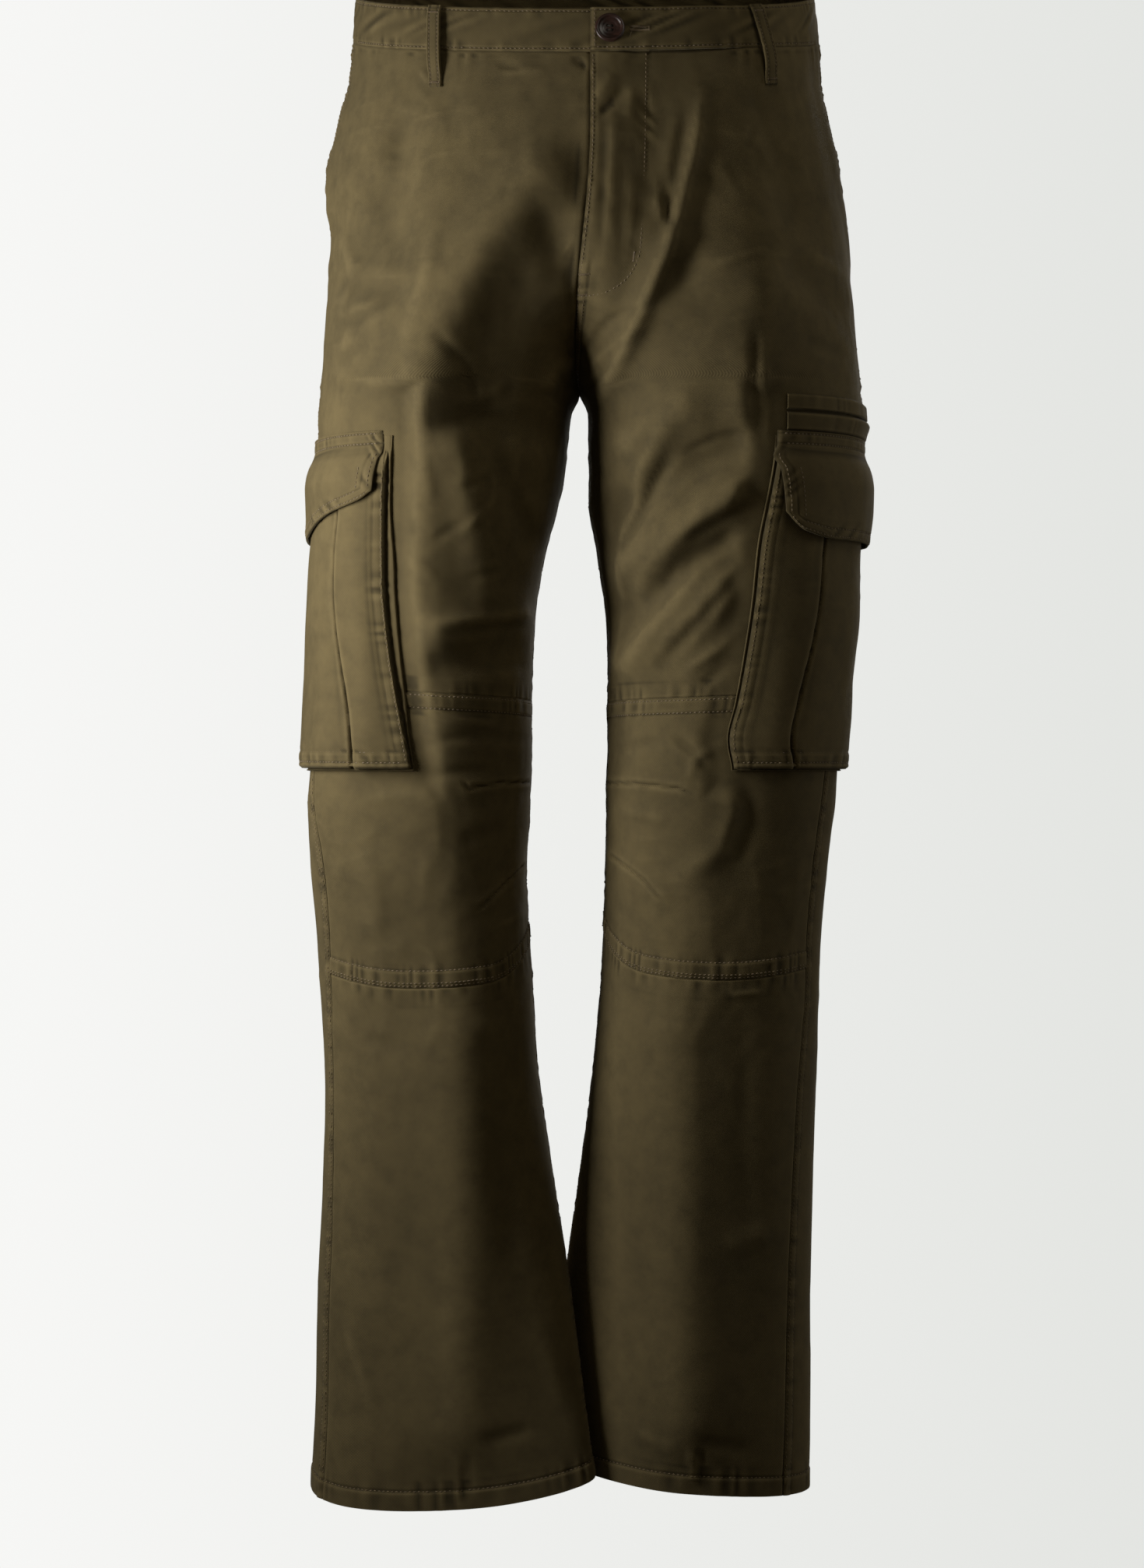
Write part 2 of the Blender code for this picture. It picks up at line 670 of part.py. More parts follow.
def front_panel(side):
    places = front_places()
    rows, knee_rows, _ = seam_rows(side, places)
    levels = np.array(rows + [knee_rows[0] + SEAM_GAP / 2])
    across = np.broadcast_to(places, levels.shape)
    angles = front_grid(side, levels, across)
    if side == RIGHT:
        tuck = FLY_TUCK * fade(levels, FLY_END, FLY_END + FLY_FADE)
        edge = inner_angle(side, levels)
        outer = angles[:, :1]
        tucked = edge + tuck / angle_speed(side, edge, levels)
        angles = outer + (tucked - outer) * across
    lift = edge_lift(side, angles, levels)
    cloth_wall("front_" + SIDE_NAMES[side], side, angles, levels, lift)


def knee_panel(side):
    places = np.linspace(0, 1, LOWER_COLUMNS + 1)
    _, knee_rows, _ = seam_rows(side, places)
    levels = np.array(knee_rows)
    levels[0] -= SEAM_GAP / 2
    levels[-1] += SEAM_GAP / 2
    angles = front_grid(side, levels, np.broadcast_to(places, levels.shape))
    cloth_wall("knee_" + SIDE_NAMES[side], side, angles, levels)


def hem_thickness(side, levels):
    above = levels - HEM[side] - HEM_DEPTH
    return HEM_CLOTH + (CLOTH - HEM_CLOTH) * fade(above, 0, 4 * MM)


def shin_panel(side):
    places = np.linspace(0, 1, LOWER_COLUMNS + 1)
    _, _, shin_rows = seam_rows(side, places)
    levels = np.array(shin_rows)
    levels[0] -= SEAM_GAP / 2
    angles = front_grid(side, levels, np.broadcast_to(places, levels.shape))
    thickness = hem_thickness(side, levels)
    cloth_wall("shin_" + SIDE_NAMES[side], side, angles, levels, 0.0, thickness)


def back_panels(side):
    """The back as two lengths that meet at the height of the upper knee seam."""
    ends = np.array([0.0, 1.0])
    rows, knee_rows, shin_rows = seam_rows(side, ends)
    half_gap = SEAM_GAP / 2
    back_length("back_", side, rows + [knee_rows[0] + half_gap])
    lower_rows = [knee_rows[0] - half_gap] + knee_rows[1:] + shin_rows[1:]
    back_length("back_lower_", side, lower_rows)


def back_length(name, side, end_levels):
    """From the side seam round behind to the inner seam, its rows meeting the front's."""
    end_levels = np.array(end_levels)
    places = np.linspace(0, 1, BACK_COLUMNS + 1)
    levels = end_levels[:, :1] + (end_levels[:, 1:] - end_levels[:, :1]) * places
    outer = trim(side, seam_angle(side, levels), levels, -SEAM_GAP / 2)
    inner = -inner_angle(side, levels)
    angles = outer + (inner - outer) * places
    thickness = hem_thickness(side, levels)
    cloth_wall(name + SIDE_NAMES[side], side, angles, levels, 0.0, thickness)


def pocket_facing(side):
    """The hip piece behind the slanted pocket mouth, tucked under the front's edge."""
    levels = np.array([BAND_SEAM - SEAM_GAP / 2, *(row * MM for row in FACING_ROWS)])
    levels = levels[:, None] + np.zeros(4)
    rear = trim(side, seam_angle(side, levels), levels, SEAM_GAP / 2)
    front = trim(side, mouth_angle(levels), levels, FACING_TUCK)
    angles = rear + (front - rear) * np.linspace(0, 1, 4)
    cloth_wall("pocket_facing_" + SIDE_NAMES[side], side, angles, levels, 0.0, CLOTH, TWILL_DARK)


# ---- Waistband, loops and button ------------------------------------------------------------


def band_points(turn, level, lift):
    """Points round the waist. The turn starts at the front, goes by the wearer's right, and
    comes back to the front at 360 degrees; before 0 and after 180 it is on the left half."""
    turn, level, lift = np.broadcast_arrays(turn, level, lift)
    on_right = (turn >= 0) & (turn <= 180)
    right = cloth_points(RIGHT, np.radians(90 - turn), level, lift)
    left_angle = np.where(turn < 0, 90 + turn, turn - 270)
    left = cloth_points(LEFT, np.radians(left_angle), level, lift)
    return np.where(on_right[..., None], right, left)


def waistband():
    turn = np.linspace(-BAND_UNDERLAP_ANGLE, 360, BAND_STEPS + 1)
    level = np.linspace(0, BAND_SEAM + SEAM_GAP / 2, 4)[:, None]
    rise = fade(turn, 360 - BAND_RAMP_START, 360 - BAND_RAMP_END)
    lift = BAND_LIFT + (BAND_LAP_LIFT - BAND_LIFT) * rise
    outer = band_points(turn, level, lift)
    inner = band_points(turn, level, lift - BAND_CLOTH)
    wall("waistband", outer, inner)


def belt_loop(name, side, top_angle, foot_angle):
    path = columns(LOOP_PATH, LOOP_COLUMNS)
    level = path["level"][:, None] * MM
    share = (level - level[0]) / (level[-1] - level[0])
    middle = np.radians(foot_angle + (top_angle - foot_angle) * share)
    half = LOOP_WIDTH / 2 / angle_speed(side, middle, level)
    angle = middle + half * np.array([-1.0, 1.0])
    clear = path["clear"][:, None] * MM
    outer = cloth_points(side, angle, level, clear + LOOP_CLOTH)
    inner = cloth_points(side, angle, level, clear)
    wall(name, outer, inner)


def button():
    """A turned disc with a raised rim, a stepped dish and four holes, on the band's lap."""
    corners = [(out * BUTTON_RADIUS, 0, up * BUTTON_THICKNESS) for out, up in BUTTON_PROFILE]
    edges = [(i, i + 1) for i in range(len(corners) - 1)]
    outline = bpy.data.meshes.new("button_profile")
    outline.from_pydata(corners, edges, [])
    piece = bpy.data.objects.new("button", outline)
    PARTS.objects.link(piece)
    turn = piece.modifiers.new("turn", "SCREW")
    turn.steps = BUTTON_STEPS
    turn.render_steps = BUTTON_STEPS
    turn.use_merge_vertices = True
    turn.merge_threshold = 0.00001
    turn.use_smooth_shade = True
    angle = angle_at(LEFT, BUTTON_LEVEL, BUTTON_X)
    spot = cloth_points(LEFT, angle, BUTTON_LEVEL, BAND_LAP_LIFT + SEAM_GAP)
    facing = Vector(base_normal(LEFT, angle, BUTTON_LEVEL))
    place = Matrix.Translation(Vector(spot)) @ facing.to_track_quat("Z", "Y").to_matrix().to_4x4()
    piece.matrix_world = place
    for quarter in range(4):
        spin = Matrix.Rotation(math.radians(45 + 90 * quarter), 4, "Z")
        offset = Matrix.Translation((BUTTON_HOLE_SPREAD, 0, 0))
        cut_hole(piece, place @ spin @ offset, quarter)
    outline.materials.append(material("button", BUTTON_BROWN, 0.35))


def cut_hole(piece, place, number):
    depth = 4 * BUTTON_THICKNESS
    bpy.ops.mesh.primitive_cylinder_add(vertices=10, radius=BUTTON_HOLE_RADIUS, depth=depth)
    cutter = bpy.context.object
    cutter.name = f"button_hole_{number}"
    cutter.matrix_world = place
    cutter.hide_render = True
    cutter.display_type = "WIRE"
    for collection in list(cutter.users_collection):
        collection.objects.unlink(cutter)
    CUTTERS.objects.link(cutter)
    cut = piece.modifiers.new(f"hole_{number}", "BOOLEAN")
    cut.object = cutter
    cut.operation = "DIFFERENCE"


# ---- Cargo pockets --------------------------------------------------------------------------


def bag_angle(side, level, place):
    """Place 0 is the bag's rear edge, 1 its front edge."""
    edge = columns(BAG_FRONT_EDGE[side], BAG_COLUMNS)
    front_x = side * curve(edge["level"] * MM, edge["front_x"] * MM, level)
    front = angle_at(side, level, front_x)
    rear = math.radians(BAG_REAR_ANGLE)
    return rear + (front - rear) * place


def bag_top_lift(level):
    """The most that the bag can stand off the leg where it runs up under the flap."""
    rows = columns(BAG_TOP_ROWS, BAG_TOP_COLUMNS)
    return np.interp(-level, -rows["level"] * MM, rows["lift"] * MM)


def bag_lift(level, place):
    """How far the bag's outer face stands off the leg: fuller in the middle, with two pleats."""
    full_from = BAG_TOP_ROWS[-1][0] * MM
    down = np.clip((full_from - level) / (full_from - BAG_BOTTOM), 0, 1)
    rows = columns(BAG_LIFT, BAG_LIFT_COLUMNS)
    full = fade(place, 0, BAG_EDGE_SHARE) * fade(1 - place, 0, BAG_EDGE_SHARE)
    lift = BAG_LIFT_EDGE + (curve(rows["down"], rows["lift"] * MM, down) - BAG_LIFT_EDGE) * full
    pleated = fade(down, 0, 0.3) * fade(1 - down, 0, 0.12)
    for pleat in PLEAT_PLACES:
        lift = lift - PLEAT_DEPTH * np.exp(-(((place - pleat) / PLEAT_WIDTH) ** 2)) * pleated
    return np.where(down > 0, lift, bag_top_lift(level))


def cargo_bag(side):
    top = columns(BAG_TOP_ROWS, BAG_TOP_COLUMNS)["level"] * MM
    level = np.concatenate([top, np.linspace(top[-1], BAG_BOTTOM, BAG_BANDS + 1)[1:]])[:, None]
    place = np.array(BAG_PLACES)
    angle = bag_angle(side, level, place)
    lift = bag_lift(level, place)
    cloth_wall("cargo_bag_" + SIDE_NAMES[side], side, angle, level + 0 * place, lift)


def gusset_path(side, side_inset, bottom_inset):
    """Angles and levels down the front edge, along the bottom and up the rear edge."""
    full_from = BAG_TOP_ROWS[-1][0] * MM
    down = np.linspace(full_from, BAG_BOTTOM + bottom_inset, GUSSET_STEPS)
    down = np.concatenate([[GUSSET_TOP, GUSSET_TOP_MIDDLE], down])
    front = trim(side, bag_angle(side, down, 1.0), down, -side_inset)
    rear = trim(side, bag_angle(side, down, 0.0), down, side_inset)
    along = np.linspace(0, 1, GUSSET_BOTTOM_STEPS)[1:-1]
    bottom_angle = front[-1] + (rear[-1] - front[-1]) * along
    bottom_level = np.full_like(along, BAG_BOTTOM + bottom_inset)
    angle = np.concatenate([front, bottom_angle, rear[::-1]])
    level = np.concatenate([down, bottom_level, down[::-1]])
    return angle, level


def cargo_gusset(side):
    """The bellows strip: a flange on the leg round the bag, turned up under the bag's edge."""
    outer = []
    inner = []
    for side_inset, bottom_inset, outer_lift, inner_lift in np.array(GUSSET_PROFILE) * MM:
        angle, level = gusset_path(side, side_inset, bottom_inset)
        room = bag_top_lift(level) - CLOTH - LAY_GAP
        outer.append(cloth_points(side, angle, level, np.minimum(outer_lift, room)))
        if side_inset > 0:
            side_inset = side_inset + GUSSET_UPSTAND
            bottom_inset = bottom_inset + GUSSET_UPSTAND
            angle, level = gusset_path(side, side_inset, bottom_inset)
            inner_lift = inner_lift if len(inner) == 1 else np.minimum(outer_lift, room)
        inner.append(cloth_points(side, angle, level, inner_lift))
    wall("cargo_gusset_" + SIDE_NAMES[side], np.stack(outer, 1), np.stack(inner, 1), TWILL_DARK)


def cargo_flap(side):
    """Sewn flat along its top, then folded over to stand off the bag's mouth."""
    place = np.linspace(0, 1, FLAP_STEPS + 1)
    edge = columns(FLAP_EDGES[side], FLAP_COLUMNS)
    lower = curve(edge["place"], edge["lower"] * MM, place)
    top = columns(FLAP_ROWS, FLAP_ROW_COLUMNS)
    share = np.linspace(0, 1, FLAP_LOWER_BANDS + 1)[1:, None]
    last = top["level"][-1] * MM
    level = np.concatenate([top["level"][:, None] * MM + 0 * place, last + (lower - last) * share])
    clear = top["clear"] * MM
    clear = np.concatenate([clear, clear[-1] + (FLAP_CLEAR_LOW - clear[-1]) * share[:, 0]])
    edge = columns(FLAP_FRONT[side], FLAP_FRONT_COLUMNS)
    front_x = curve(edge["level"] * MM, edge["front_x"] * MM, level)
    front = angle_at(side, level, side * front_x)
    rear = math.radians(FLAP_REAR_ANGLE)
    angle = rear + (front - rear) * place
    lift = clear[:, None] + FLAP_CLOTH
    cloth_wall("cargo_flap_" + SIDE_NAMES[side], side, angle, level, lift, FLAP_CLOTH)


def welt(which, span):
    """A lip of the small pocket, standing off most over the outer edge and beside the slit."""
    level = np.linspace(span[0], span[1], 3)[:, None]
    place = np.linspace(0, 1, WELT_STEPS + 1)
    front = angle_at(LEFT, level, WELT_FRONT_X)
    rear = math.radians(WELT_REAR_ANGLE)
    angle = rear + (front - rear) * place
    swell = np.sin(np.pi * place) * np.array(WELT_POUTS[which])[:, None]
    lift = WELT_LIFT + WELT_POUT * swell
    cloth_wall(f"welt_{which}_left", LEFT, angle, level + 0 * place, lift, WELT_CLOTH)


# ---- Assembly ---------------------------------------------------------------------------------


for old in list(bpy.data.objects):
    bpy.data.objects.remove(old, do_unlink=True)
PARTS = bpy.data.collections.new("cargo_pants")
CUTTERS = bpy.data.collections.new("cutters")
bpy.context.scene.collection.children.link(PARTS)
bpy.context.scene.collection.children.link(CUTTERS)

for half in (RIGHT, LEFT):
    front_panel(half)
    knee_panel(half)
    shin_panel(half)
    back_panels(half)
    pocket_facing(half)
    cargo_bag(half)
    cargo_gusset(half)
    cargo_flap(half)
welt("upper", WELT_UPPER)
welt("lower", WELT_LOWER)
waistband()
for loop in LOOPS:
    belt_loop(*loop)
button()
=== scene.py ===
"""Cargo trousers as worn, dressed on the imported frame: cloth shells with folds, seams and stitches.

Metres, +Z up, front on -Y. "right" and "left" are the wearer's: right is -X.
"""
import math

import bmesh
import bpy
import numpy as np
from mathutils import Matrix, Vector


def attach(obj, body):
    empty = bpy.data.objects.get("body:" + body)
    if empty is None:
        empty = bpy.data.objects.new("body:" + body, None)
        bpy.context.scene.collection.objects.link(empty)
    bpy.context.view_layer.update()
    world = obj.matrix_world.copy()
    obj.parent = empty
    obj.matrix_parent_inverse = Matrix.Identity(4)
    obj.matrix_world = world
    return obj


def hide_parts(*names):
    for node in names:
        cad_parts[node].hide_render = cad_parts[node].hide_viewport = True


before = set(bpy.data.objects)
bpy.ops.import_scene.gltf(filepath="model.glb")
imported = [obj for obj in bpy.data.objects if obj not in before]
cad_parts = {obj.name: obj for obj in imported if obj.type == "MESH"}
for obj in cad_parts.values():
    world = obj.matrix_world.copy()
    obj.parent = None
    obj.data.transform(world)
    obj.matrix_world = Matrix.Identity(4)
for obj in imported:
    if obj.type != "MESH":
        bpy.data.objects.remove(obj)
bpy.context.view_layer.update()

MM = 0.001
RIGHT, LEFT = -1, 1
FRONT, BACK = 1, -1
NAMES = {RIGHT: "right", LEFT: "left"}

# ---- The worn form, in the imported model's own numbers --------------------------------------------

SQUARENESS = 0.08
SEAM_GAP = 0.4 * MM
BAND_SEAM = -33.0 * MM
CROTCH = -285.0 * MM
HEM = {RIGHT: -1062.0 * MM, LEFT: -1061.0 * MM}
HEM_STITCH = 12.8 * MM
TORSO_COLUMNS = ("level", "right", "left", "share", "front", "back", "pitch", "middle")
TORSO = (
    (0, 163, 165, 0.00, -104, 108, 0.290, 4),
    (-33, 165, 168, 0.00, -109, 113, 0.262, 4),
    (-60, 167, 169, 0.00, -113, 118, 0.235, 4),
    (-90, 174.5, 175, 0.00, -117, 124, 0.205, 4),
    (-120, 182, 182, 0.02, -120, 130, 0.175, 3),
    (-150, 183, 186, 0.10, -123, 134, 0.145, 1),
    (-175, 180, 189, 0.27, -124, 137, 0.115, -1),
    (-200, 183, 191, 0.48, -124, 138, 0.088, -3),
    (-225, 185, 194, 0.68, -123, 138, 0.060, -5),
    (-250, 187, 196, 0.85, -120, 137, 0.032, -6),
    (-270, 188, 198, 0.95, -117, 134, 0.012, -5),
    (-281, 189, 199, 0.988, -115, 131, 0.003, -4),
    (-285, 189, 199, 1.00, -114, 130, 0.000, -3),
)
LEG_COLUMNS = ("level", "outer", "inner", "front", "back", "pitch", "rise", "carry", "press")
LEGS = {
    RIGHT: (
        (-300, 190.5, 9, -111, 126, 0, 0, 0, 0.00),
        (-340, 190, 13, -105, 114, 0, 0, 0, 0.00),
        (-370, 187, 19, -101, 106, 0, 0, 0, 0.00),
        (-400, 188, 27, -97, 99, 0, 0, 0, 0.00),
        (-450, 190, 35, -93, 90, 0, 0, 0, 0.00),
        (-500, 191.5, 37, -89, 80, 0, 0, 0, 0.00),
        (-550, 195.5, 37.5, -85, 70, 0, 0, 0, 0.00),
        (-585, 198, 38.5, -81, 66, 0, 0, 0, 0.00),
        (-620, 196, 41, -77, 65, 0, 0, 0, 0.00),
        (-680, 191, 39, -71, 70, 0, 1, 0, 0.00),
        (-760, 187, 34, -66, 79, 0, 3, -1, 0.04),
        (-850, 188, 22, -62, 78, 0.03, 7, -8, 0.15),
        (-930, 192, 10, -60, 71, 0.10, 9, -19, 0.28),
        (-1000, 193, 1, -59, 64, 0.18, 11, -29, 0.38),
        (-1062, 196, -8, -58, 58, 0.25, 12, -38, 0.45),
    ),
    LEFT: (
        (-300, 200.5, 3, -111, 126, 0, 0, 0, 0.00),
        (-340, 198.5, 3.5, -105, 114, 0, 0, 0, 0.00),
        (-370, 195, 3.5, -101, 106, 0, 0, 0, 0.00),
        (-400, 191, 9, -97, 99, 0, 0, 0, 0.00),
        (-450, 189, 17, -93, 90, 0, 0, 0, 0.00),
        (-500, 184, 18, -89, 80, 0, 0, 0, 0.00),
        (-565, 181, 17, -83, 67, 0, 0, 0, 0.00),
        (-620, 175, 16, -77, 65, 0, 0, 0, 0.00),
        (-680, 170, 14, -71, 70, 0, 1, 0, 0.00),
        (-760, 168, 8, -65, 79, 0, 3, 1, 0.04),
        (-850, 165, -3, -61, 78, 0, 6, 8, 0.15),
        (-930, 163, -14, -58, 70, 0.02, 10, 19, 0.28),
        (-1000, 163, -24, -56, 62, 0.04, 14, 29, 0.38),
        (-1062, 162, -33, -54, 56, 0.08, 17, 38, 0.45),
    ),
}
SEAM_COLUMNS = ("level", "right", "left")
SIDE_SEAM = (
    (0, -24, -24), (-33, -23, -23), (-90, -17, -17), (-145, -10, -10), (-200, -4, -4), (-300, 3, 4),
    (-400, 9, 12), (-500, 17, 24), (-565, 24, 33), (-640, 35, 35), (-700, 32, 34), (-790, 29, 39),
    (-900, 30, 40), (-1076, 28, 41),
)
POCKET_MOUTH = ((0, 7), (-33, 6), (-90, 4), (-145, 1), (-195, -4))
MOUTH_END = -195.0 * MM
FLY_END = -196.0 * MM
CENTRE_SEAM_TOP = -226 * MM
KNEE_SEAMS = {
    RIGHT: (
        (0, -500, -700), (0.35, -501, -709), (0.62, -504, -706), (0.85, -506, -690),
        (1, -507, -676),
    ),
    LEFT: (
        (0, -501, -696), (0.35, -504, -703), (0.62, -506, -699), (0.85, -507, -683),
        (1, -508, -668),
    ),
}
BAG_FRONT_EDGE = {
    RIGHT: (
        (-325, 134), (-345, 135), (-400, 136.5), (-425, 136.5), (-450, 135), (-475, 132.5),
        (-500, 129), (-530, 124), (-554, 120),
    ),
    LEFT: (
        (-325, 134), (-345, 132), (-370, 127.5), (-400, 122), (-440, 118), (-480, 112),
        (-510, 106.5), (-535, 101), (-554, 104),
    ),
}
BAG_REAR_ANGLE = -62.0
BAG_TOP = -354.0 * MM
BAG_HEAD = -325.0 * MM
# How far off the leg the bag can stand where it runs up under the flap, in mm
BAG_HEAD_ROWS = ((-325, 1.5), (-332, 1.8), (-336, 3.1), (-341, 5.4), (-346, 6.9), (-352, 20))
BAG_BOTTOM = -555.0 * MM
BAG_EDGE_LIFT = 7.2
BAG_LIFT = ((0, 7.2), (0.2, 8.4), (0.5, 9.2), (0.85, 8.4), (1, 7.2))
PLEAT_PLACES = (0.19, 0.81)
# Cargo flaps: how far off the leg at each level, their front edge and their foot, in mm
FLAP_TOP = -321.5 * MM
FLAP_REAR = math.radians(-66)
FLAP_WIDTH = 0.14
FLAP_LIFT = (
    (-321, 3.0), (-329, 3.2), (-332, 3.6), (-336, 5.2), (-341, 7.9), (-347, 10.2), (-354, 11.8),
    (-372, 13.0), (-400, 14.0),
)
FLAP_FRONTS = {
    RIGHT: ((-321, 139), (-328, 138.2), (-335.5, 138), (-341, 140.2), (-359, 142), (-372, 143.5)),
    LEFT: (
        (-321, 133.5), (-331, 133), (-339, 129.5), (-347, 133.4), (-368, 135.5), (-380, 136),
        (-397, 141),
    ),
}
FLAP_EDGES = {
    RIGHT: (
        (0, -368), (0.12, -374), (0.42, -394), (0.6, -391), (0.8, -378), (0.96, -368), (1, -362),
    ),
    LEFT: (
        (0, -374), (0.08, -388), (0.3, -394), (0.6, -394), (0.85, -394), (0.95, -389), (1, -376),
    ),
}
# Stitch rows: how far each lies from its edge, in mm; a knee's from its two seams
SIDE_ROWS = (1.7, 6.6)
MOUTH_ROWS = (2.0, 7.6)
KNEE_ROWS = {"upper": (-2.0, -10.8), "lower": (1.5, 3.6, 12.2)}
INSEAM_ROWS = (1.6, 6.6)
CENTRE_FRONT_ROWS = (1.5, 6.4)
CENTRE_BACK_ROWS = (1.6, 7.0)
FLY_EDGE_ROW = 2.0
BAG_EDGE_ROW = 2.6
BAG_FOOT_ROWS = (4.5, 11.5)
FLAP_TOP_ROWS = (1.8, 8.6)
FLAP_EDGE_ROWS = (2.0, 7.6)
BAND_FOOT_ROW = 2.4
BAND_TOP_ROW = 2.6
# Lips of the small pocket: top and foot
WELTS = {"upper": (-296.0 * MM, -306.8 * MM), "lower": (-308.6 * MM, -321.0 * MM)}
WELT_FRONT_X = 140.0 * MM
WELT_REAR = math.radians(-38)
# The fly's J-stitch: level, and distance from the fly's edge, in mm
FLY_STITCH = (
    (-35, 39), (-84, 38.5), (-187, 39.5), (-203, 37), (-211, 33.5), (-217, 28), (-220.6, 21),
    (-221.7, 12), (-222, 3),
)

# ---- Folds and creases by side and face: width and height, then points (x, z), all in mm ---------

FOLDS = {
    (RIGHT, FRONT): (
        (26, -4.5, (-30, -188), (-42, -222), (-56, -254), (-60, -304)),
        (24, 9.0, (-34, -152), (-52, -180), (-88, -221), (-105, -268), (-114, -298)),
        (12, -4.5, (-102, -312), (-27, -316)), (12, -5.0, (-58, -330), (-36, -390)),
        (15, 5.0, (-86, -335), (-66, -430)), (12, 4.0, (-100, -458), (-42, -446)),
        (13, -3.5, (-100, -484), (-48, -472)), (14, -4.5, (-128, -116), (-152, -195)),
        (11, -4.5, (-180, -214), (-132, -226)), (32, 6.5, (-86, -745), (-86, -850), (-88, -1010)),
    ),
    (LEFT, FRONT): (
        (14, 1.6, (77, -93), (61, -181), (56, -200)), (10, 4.5, (58, -194), (42, -233), (20, -280)),
        (12, -2.0, (50, -108), (44, -170)), (13, -4.5, (82, -158), (74, -192), (66, -218)),
        (40, 8.0, (124, -78), (128, -150), (122, -200)),
        (24, 4.5, (118, -234), (115, -270), (118, -327)), (14, 5.0, (66, -308), (34, -326)),
        (15, -8.0, (104, -334), (30, -372)), (14, 6.0, (104, -368), (30, -412)),
        (13, -6.0, (100, -402), (32, -443)), (15, 6.0, (98, -436), (32, -480)),
        (12, -4.5, (146, -212), (186, -234)), (15, -4.5, (122, -96), (142, -170)),
        (32, 6.5, (66, -740), (68, -850), (76, -1010)),
    ),
    (RIGHT, BACK): (
        (15, -6.5, (-30, -296), (-125, -336)), (16, 5.0, (-40, -336), (-130, -398)),
        (13, -6.0, (-55, -566), (-165, -580)), (13, 5.0, (-58, -608), (-170, -604)),
        (13, -5.0, (-56, -646), (-160, -660)), (22, 4.0, (-28, -198), (-112, -255)),
    ),
    (LEFT, BACK): (
        (15, -6.5, (28, -292), (120, -330)), (16, 5.0, (34, -328), (130, -385)),
        (13, -6.0, (40, -556), (150, -572)), (13, 5.0, (42, -600), (150, -594)),
        (13, -5.0, (40, -640), (140, -652)), (22, 4.0, (25, -205), (110, -262)),
    ),
}

